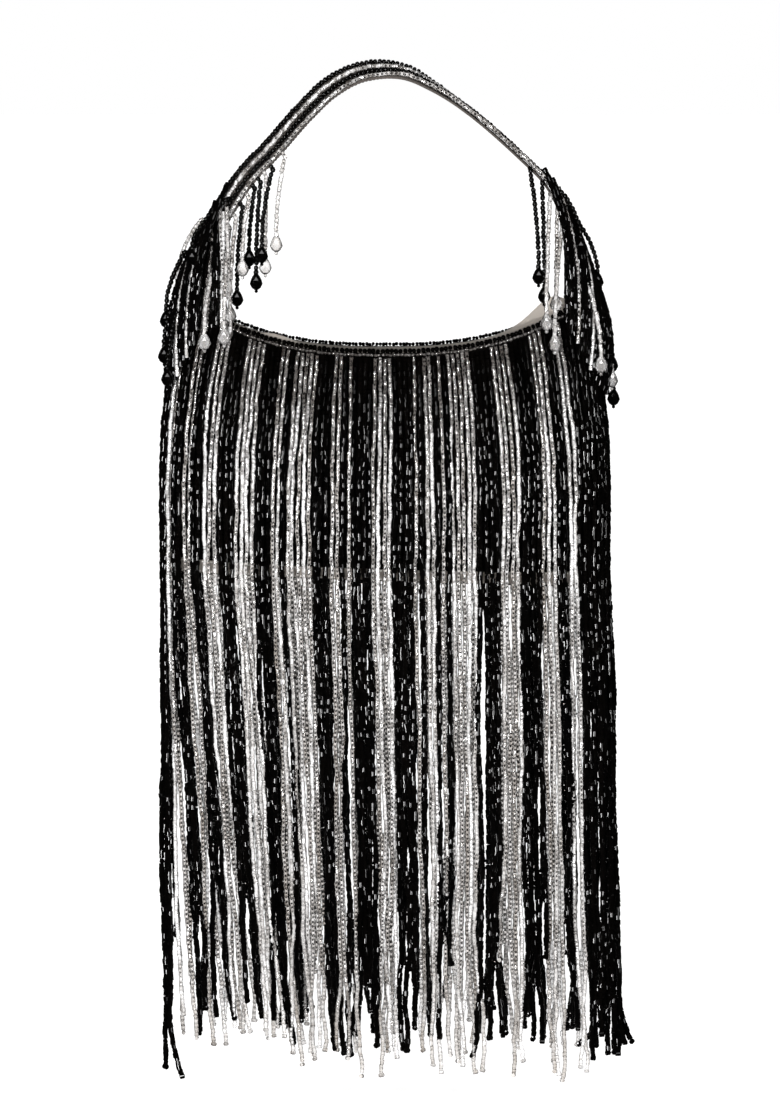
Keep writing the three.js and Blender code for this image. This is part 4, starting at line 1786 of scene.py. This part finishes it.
    def build(self) -> None:
        """Threads the strings of each side and colour, and those over the shoulders."""
        for side in Side:
            strings = self._strings(side)
            middle = len(strings) // 2
            for colour in Colour:
                own = [(string.number < middle, path) for string, path in strings if string.colour is colour]
                halves = {"strings": [path for _, path in own]}
                if side is Side.FRONT:
                    halves = {"left": [path for left, path in own if left]}
                    halves["right"] = [path for left, path in own if not left]
                finish = self.wardrobe.beads(colour)
                node = f"fringe_{side.value}_{colour.value}"
                size = self._size(side, colour)
                for number, (half, paths) in enumerate(halves.items()):
                    self.string(f"{node}_{half}", paths, size, finish, self.seed + number, node)
                self._build_shoulders(side, colour, strings)

    def _build_shoulders(
        self, side: Side, colour: Colour, strings: list[tuple[CurtainString, BeadPath]]
    ) -> None:
        """Threads the strings of one colour that run from the strap to the curtain.

        Args:
            side: the broad side.
            colour: the colour.
            strings: the curtain's strings on that side.
        """
        outer = [
            self._shoulder(string, path)
            for string, path in strings
            if self._shoulder_colour(string, path) is colour
        ]
        for fan in self.fans:
            outer += [path for shade, path in self._fan_strings(side, fan) if shade is colour]
        if outer:
            size = replace(self._size(Side.FRONT, colour), end_turn=0.0)
            name = f"shoulder_{side.value}_{colour.value}"
            self.string(name, outer, size, self.wardrobe.beads(colour), self.shoulder_seed)


@dataclass(frozen=True)
class Drop:
    """One short string: its colour, its place on the strap and the middle of its teardrop."""

    colour: Colour
    place: Place
    anchor_up: float
    across: float
    depth: float
    up: float
    sideways: float = 0.0


def drops_from(rows: Sequence[tuple]) -> tuple[Drop, ...]:
    """Drops from rows in millimetres.

    Args:
        rows: colour, place, height on the strap, across, depth and up of the teardrop, and sideways.

    Returns:
        The drops, in metres.
    """
    return tuple(Drop(row[0], row[1], *(0.001 * number for number in row[2:])) for row in rows)


LEFT_DROPS = drops_from((
    (Colour.CLEAR, Place.INNER, -30.0, -48.6, -1.0, -73.5),
    (Colour.BLACK, Place.INNER, -35.5, -55.0, -5.5, -78.0),
    (Colour.CLEAR, Place.INNER, -38.5, -53.6, 3.5, -84.0),
    (Colour.BLACK, Place.INNER, -41.5, -57.6, -1.2, -90.5),
    (Colour.BLACK, Place.INNER, -44.9, -60.8, 4.2, -80.5),
    (Colour.CLEAR, Place.INNER, -49.0, -63.6, -6.0, -84.0),
    (Colour.BLACK, Place.INNER, -53.5, -66.2, -0.6, -98.0),
    (Colour.CLEAR, Place.INNER, -58.4, -69.0, -13.0, -104.0),
    (Colour.CLEAR, Place.INNER, -63.0, -71.6, -21.0, -113.0),
    (Colour.CLEAR, Place.INNER, -71.0, -80.4, -19.0, -115.5),
    (Colour.BLACK, Place.FACE, -54.0, -86.0, -9.5, -79.0),
    (Colour.CLEAR, Place.OUTER, -66.0, -91.6, 6.2, -88.5),
    (Colour.BLACK, Place.OUTER, -80.0, -98.2, 3.5, -108.0),
    (Colour.BLACK, Place.FACE, -84.0, -98.6, -10.0, -122.5),
    (Colour.BLACK, Place.FACE, -92.0, -97.0, -16.5, -132.0),
))
RIGHT_DROPS = drops_from((
    (Colour.BLACK, Place.INNER, -40.0, 68.6, -6.5, -87.5),
    (Colour.BLACK, Place.INNER, -45.5, 71.0, -11.5, -95.5),
    (Colour.CLEAR, Place.INNER, -57.0, 76.4, -8.0, -99.5),
    (Colour.CLEAR, Place.INNER, -51.0, 72.0, -17.0, -107.0),
    (Colour.CLEAR, Place.INNER, -62.0, 75.6, -21.5, -116.0),
    (Colour.BLACK, Place.FACE, -52.0, 87.3, -8.8, -74.0, -3.6),
    (Colour.BLACK, Place.FACE, -63.5, 95.0, -1.5, -90.0),
    (Colour.CLEAR, Place.INNER, -79.0, 96.3, -17.0, -126.0),
    (Colour.BLACK, Place.OUTER, -86.0, 102.0, 7.6, -128.5),
    (Colour.CLEAR, Place.INNER, -93.0, 101.4, -8.5, -133.5),
    (Colour.BLACK, Place.FACE, -78.0, 102.6, 3.0, -143.0, 3.2),
))


@dataclass
class Drops(Assembly):
    """Short bead strings that hang from the strap, each with a cut teardrop and a stop bead.

    The teardrop is rows of a radius and a height. Each string leaves the strap at its anchor, and its thread
    is sewn to the tape at its seat.
    """

    course: StrapCourse
    anchor_edge: float = 0.00645
    anchor_lift: float = 0.0046
    seat_edge: float = 0.0051
    seat_lift: float = 0.0034
    bend: float = 0.45
    steps: int = 24
    black_size: BeadSize = replace(ROUND_BEAD, width=0.0024, length=0.0026, pitch=0.0021)
    clear_size: BeadSize = replace(CUT_BEAD, width=0.0019)
    teardrop: tuple[tuple[float, float], ...] = (
        (0.0008, -0.0039),
        (0.0021, -0.0030),
        (0.0029, -0.0012),
        (0.0026, 0.0005),
        (0.0017, 0.0021),
        (0.0009, 0.0033),
    )
    teardrop_sides: int = 8
    teardrop_tone: float = 0.9
    neck_gap: float = 0.0006
    stop_radius: float = 0.0008
    stop_share: float = 0.8
    stop_rings: int = 5
    seed: int = 131

    def _beside(self, left: bool, drop: Drop, edge: float, lift: float) -> Vector:
        """A point at the drop's height on the strap.

        Args:
            left: True for the strap's left half.
            drop: the drop.
            edge: distance from the tape's middle, where it hangs from an edge.
            lift: distance off the tape's middle, where it hangs from the face.

        Returns:
            The point.
        """
        share = self.course.share_at(left, drop.anchor_up)
        if drop.place is Place.FACE:
            return self.course.point(share, drop.sideways, lift)
        return self.course.point(share, -edge if drop.place is Place.INNER else edge, 0.0)

    def _path(self, left: bool, drop: Drop) -> BeadPath:
        """The string's curve from the strap to the teardrop's neck.

        Args:
            left: True for the strap's left half.
            drop: the drop.

        Returns:
            The string.
        """
        seat = self._beside(left, drop, self.seat_edge, self.seat_lift)
        top = self._beside(left, drop, self.anchor_edge, self.anchor_lift)
        end = Vector((drop.across, drop.depth, drop.up + self.teardrop[-1][1] + self.neck_gap))
        turn = Vector((drop.across, drop.depth, mix(end.z, top.z, self.bend)))
        return BeadPath([seat, *curved(top, turn, end, self.steps)])

    def _pendant(self, middle: Vector) -> bpy.types.Mesh:
        """A teardrop cut in staggered facets, with a stop bead under it.

        Args:
            middle: the teardrop's middle.

        Returns:
            The mesh.
        """
        cut = bmesh.new()
        sides = self.teardrop_sides
        rows = []
        for row, (radius, height) in enumerate(self.teardrop):
            turns = [2.0 * math.pi * (side + 0.5 * (row % 2)) / sides for side in range(sides)]
            ring = [Vector((radius * math.cos(turn), radius * math.sin(turn), height)) for turn in turns]
            rows.append([cut.verts.new(middle + point) for point in ring])
        for row, (lower, upper) in enumerate(zip(rows, rows[1:])):
            for side in range(sides):
                after = (side + 1) % sides
                near, far = (side, after) if row % 2 == 0 else (after, side)
                cut.faces.new((lower[side], lower[after], upper[near]))
                cut.faces.new((lower[far], upper[after], upper[side]))
        cut.faces.new(rows[0])
        cut.faces.new(rows[-1])
        bead = bmesh.ops.create_uvsphere(
            cut, u_segments=sides, v_segments=self.stop_rings, radius=self.stop_radius
        )
        low = middle + Vector((0.0, 0.0, self.teardrop[0][1] - self.stop_share * self.stop_radius))
        bmesh.ops.translate(cut, verts=bead["verts"], vec=low)
        bmesh.ops.recalc_face_normals(cut, faces=cut.faces)
        mesh = bpy.data.meshes.new("pendant")
        cut.to_mesh(mesh)
        cut.free()
        return mesh

    def _hang(self, shape: bpy.types.Object, drop: Drop) -> None:
        """Joins a drop's teardrop to its string.

        Args:
            shape: the string.
            drop: the drop.
        """
        pendant = self._pendant(Vector((drop.across, drop.depth, drop.up)))
        both = bmesh.new()
        both.from_mesh(shape.data)
        strung = len(both.verts)
        both.from_mesh(pendant)
        both.verts.ensure_lookup_table()
        tones = both.verts.layers.float["bead_tone"]
        for corner in both.verts[strung:]:
            corner[tones] = self.teardrop_tone
        both.to_mesh(shape.data)
        both.free()
        bpy.data.meshes.remove(pendant)

    def build(self) -> None:
        """Makes the drops of both halves of the strap."""
        for half, rows in (("left", LEFT_DROPS), ("right", RIGHT_DROPS)):
            for number, drop in enumerate(rows, start=1):
                node = f"drop_{half}_{number}"
                finish = self.wardrobe.beads(drop.colour)
                size = self.black_size if drop.colour is Colour.BLACK else self.clear_size
                path = self._path(half == "left", drop)
                self.string(node + "_beads", [path], size, finish, self.seed + number, node)
                self._hang(self.pieces[-1].shape, drop)


@dataclass(frozen=True)
class Softbox:
    """A soft studio light."""

    name: str
    place: tuple[float, float, float]
    size: Span
    watts: float


@dataclass
class Studio:
    """Pale floor, white surround, softboxes and the camera."""

    floor_height: float = -0.4605
    floor_reach: float = 6.0
    floor_tints: tuple[Rgb, Rgb] = ((0.9, 0.9, 0.9), (0.93, 0.925, 0.92))
    floor_grain: float = 2.0
    floor_glow: float = 0.35
    aim: tuple[float, float, float] = (0.00225, 0.0, -0.2139)
    distance: float = 3.0
    elevation: float = math.radians(8.0)
    pixel: float = 0.00045
    image_height: int = 1108
    sensor: float = 36.0
    far_clip: float = 50.0
    surround_light: float = 1.0
    surround_gloss: float = 0.015
    light_aim: tuple[float, float, float] = (0.0, 0.0, -0.2)
    softboxes: tuple[Softbox, ...] = (
        Softbox("key", (-0.5, -1.5, -0.13), (0.25, 0.30), 32.0),
        Softbox("fill", (0.9, -1.4, -0.20), (0.30, 0.30), 7.0),
        Softbox("top", (-0.1, -1.2, 0.9), (0.6, 0.3), 5.0),
    )

    @staticmethod
    def _aimed(name: str, data: bpy.types.ID, place: Vector, way: Vector) -> bpy.types.Object:
        """A lamp or camera set in the scene.

        Args:
            name: the object's name.
            data: the lamp or camera.
            place: where it stands.
            way: the direction it looks in.

        Returns:
            The object.
        """
        holder = bpy.data.objects.new(name, data)
        holder.location = place
        holder.rotation_euler = way.to_track_quat("-Z", "Y").to_euler()
        bpy.context.scene.collection.objects.link(holder)
        return holder

    def _camera(self) -> None:
        """A long lens a little above the bag's middle."""
        camera = bpy.data.cameras.new("camera")
        camera.sensor_width = self.sensor
        camera.lens = self.sensor * self.distance / (self.pixel * self.image_height)
        camera.clip_end = self.far_clip
        back = Vector((0.0, -math.cos(self.elevation), math.sin(self.elevation)))
        place = Vector(self.aim) + back * self.distance
        bpy.context.scene.camera = self._aimed("camera", camera, place, -back)

    def _floor(self) -> None:
        """A pale floor under the strings' ends."""
        reach = self.floor_reach
        corners = [(-reach, -reach), (reach, -reach), (reach, reach), (-reach, reach)]
        mesh = bpy.data.meshes.new("floor")
        mesh.from_pydata([(x, y, self.floor_height) for x, y in corners], [], [(0, 1, 2, 3)])
        floor = linked("floor", mesh)
        surface = Surface("floor_white")
        tint = surface.blend(surface.grain(self.floor_grain), *self.floor_tints)
        surface.wear(Base_Color=tint, Roughness=0.6, Specular_IOR_Level=0.2)
        surface.wear(Emission_Color=(1.0, 1.0, 1.0, 1.0), Emission_Strength=self.floor_glow)
        mesh.materials.append(surface.material)
        floor.visible_glossy = False

    def _surround(self) -> None:
        """A white surround that lights the bag from all sides and hardly mirrors in its gloss."""
        world = bpy.data.worlds.new("surround")
        world.use_nodes = True
        bpy.context.scene.world = world
        graph = Graph(world.node_tree)
        path = graph.add("ShaderNodeLightPath").outputs
        matt = graph.math("SUBTRACT", 1.0, path["Is Glossy Ray"])
        unshaded = graph.math("MAXIMUM", matt, path["Is Transmission Ray"])
        span = self.surround_light - self.surround_gloss
        strength = graph.math("MULTIPLY_ADD", unshaded, span, self.surround_gloss)
        white = graph.add("ShaderNodeBackground", {"Color": (1.0, 1.0, 1.0, 1.0), "Strength": strength})
        graph.add("ShaderNodeOutputWorld", {"Surface": white.outputs[0]})

    def _lights(self) -> None:
        """The softboxes."""
        for box in self.softboxes:
            lamp = bpy.data.lights.new(box.name, "AREA")
            lamp.shape = "RECTANGLE"
            lamp.size, lamp.size_y = box.size
            lamp.energy = box.watts
            place = Vector(box.place)
            self._aimed(box.name, lamp, place, Vector(self.light_aim) - place)

    def build(self) -> None:
        """Sets the scene round the bag."""
        self._camera()
        self._floor()
        self._surround()
        self._lights()
        bpy.context.scene.view_settings.view_transform = "Standard"


def main() -> None:
    """Builds the studio and every sub-assembly, dresses them and notes the sizes."""
    logging.basicConfig(level=logging.INFO, format="%(message)s")
    Studio().build()
    form = BagForm()
    course = StrapCourse()
    kit = (Wardrobe(), BeadStringer())
    assemblies = (
        Pouch(*kit, form),
        MouthRows(*kit, form),
        Handle(*kit, course),
        Fringe(*kit, form, course),
        Drops(*kit, course),
    )
    for assembly in assemblies:
        assembly.build()
        assembly.dress()
        LOG.info("%s done with %d pieces", type(assembly).__name__, len(assembly.pieces))


if __name__ == "__main__":
    main()
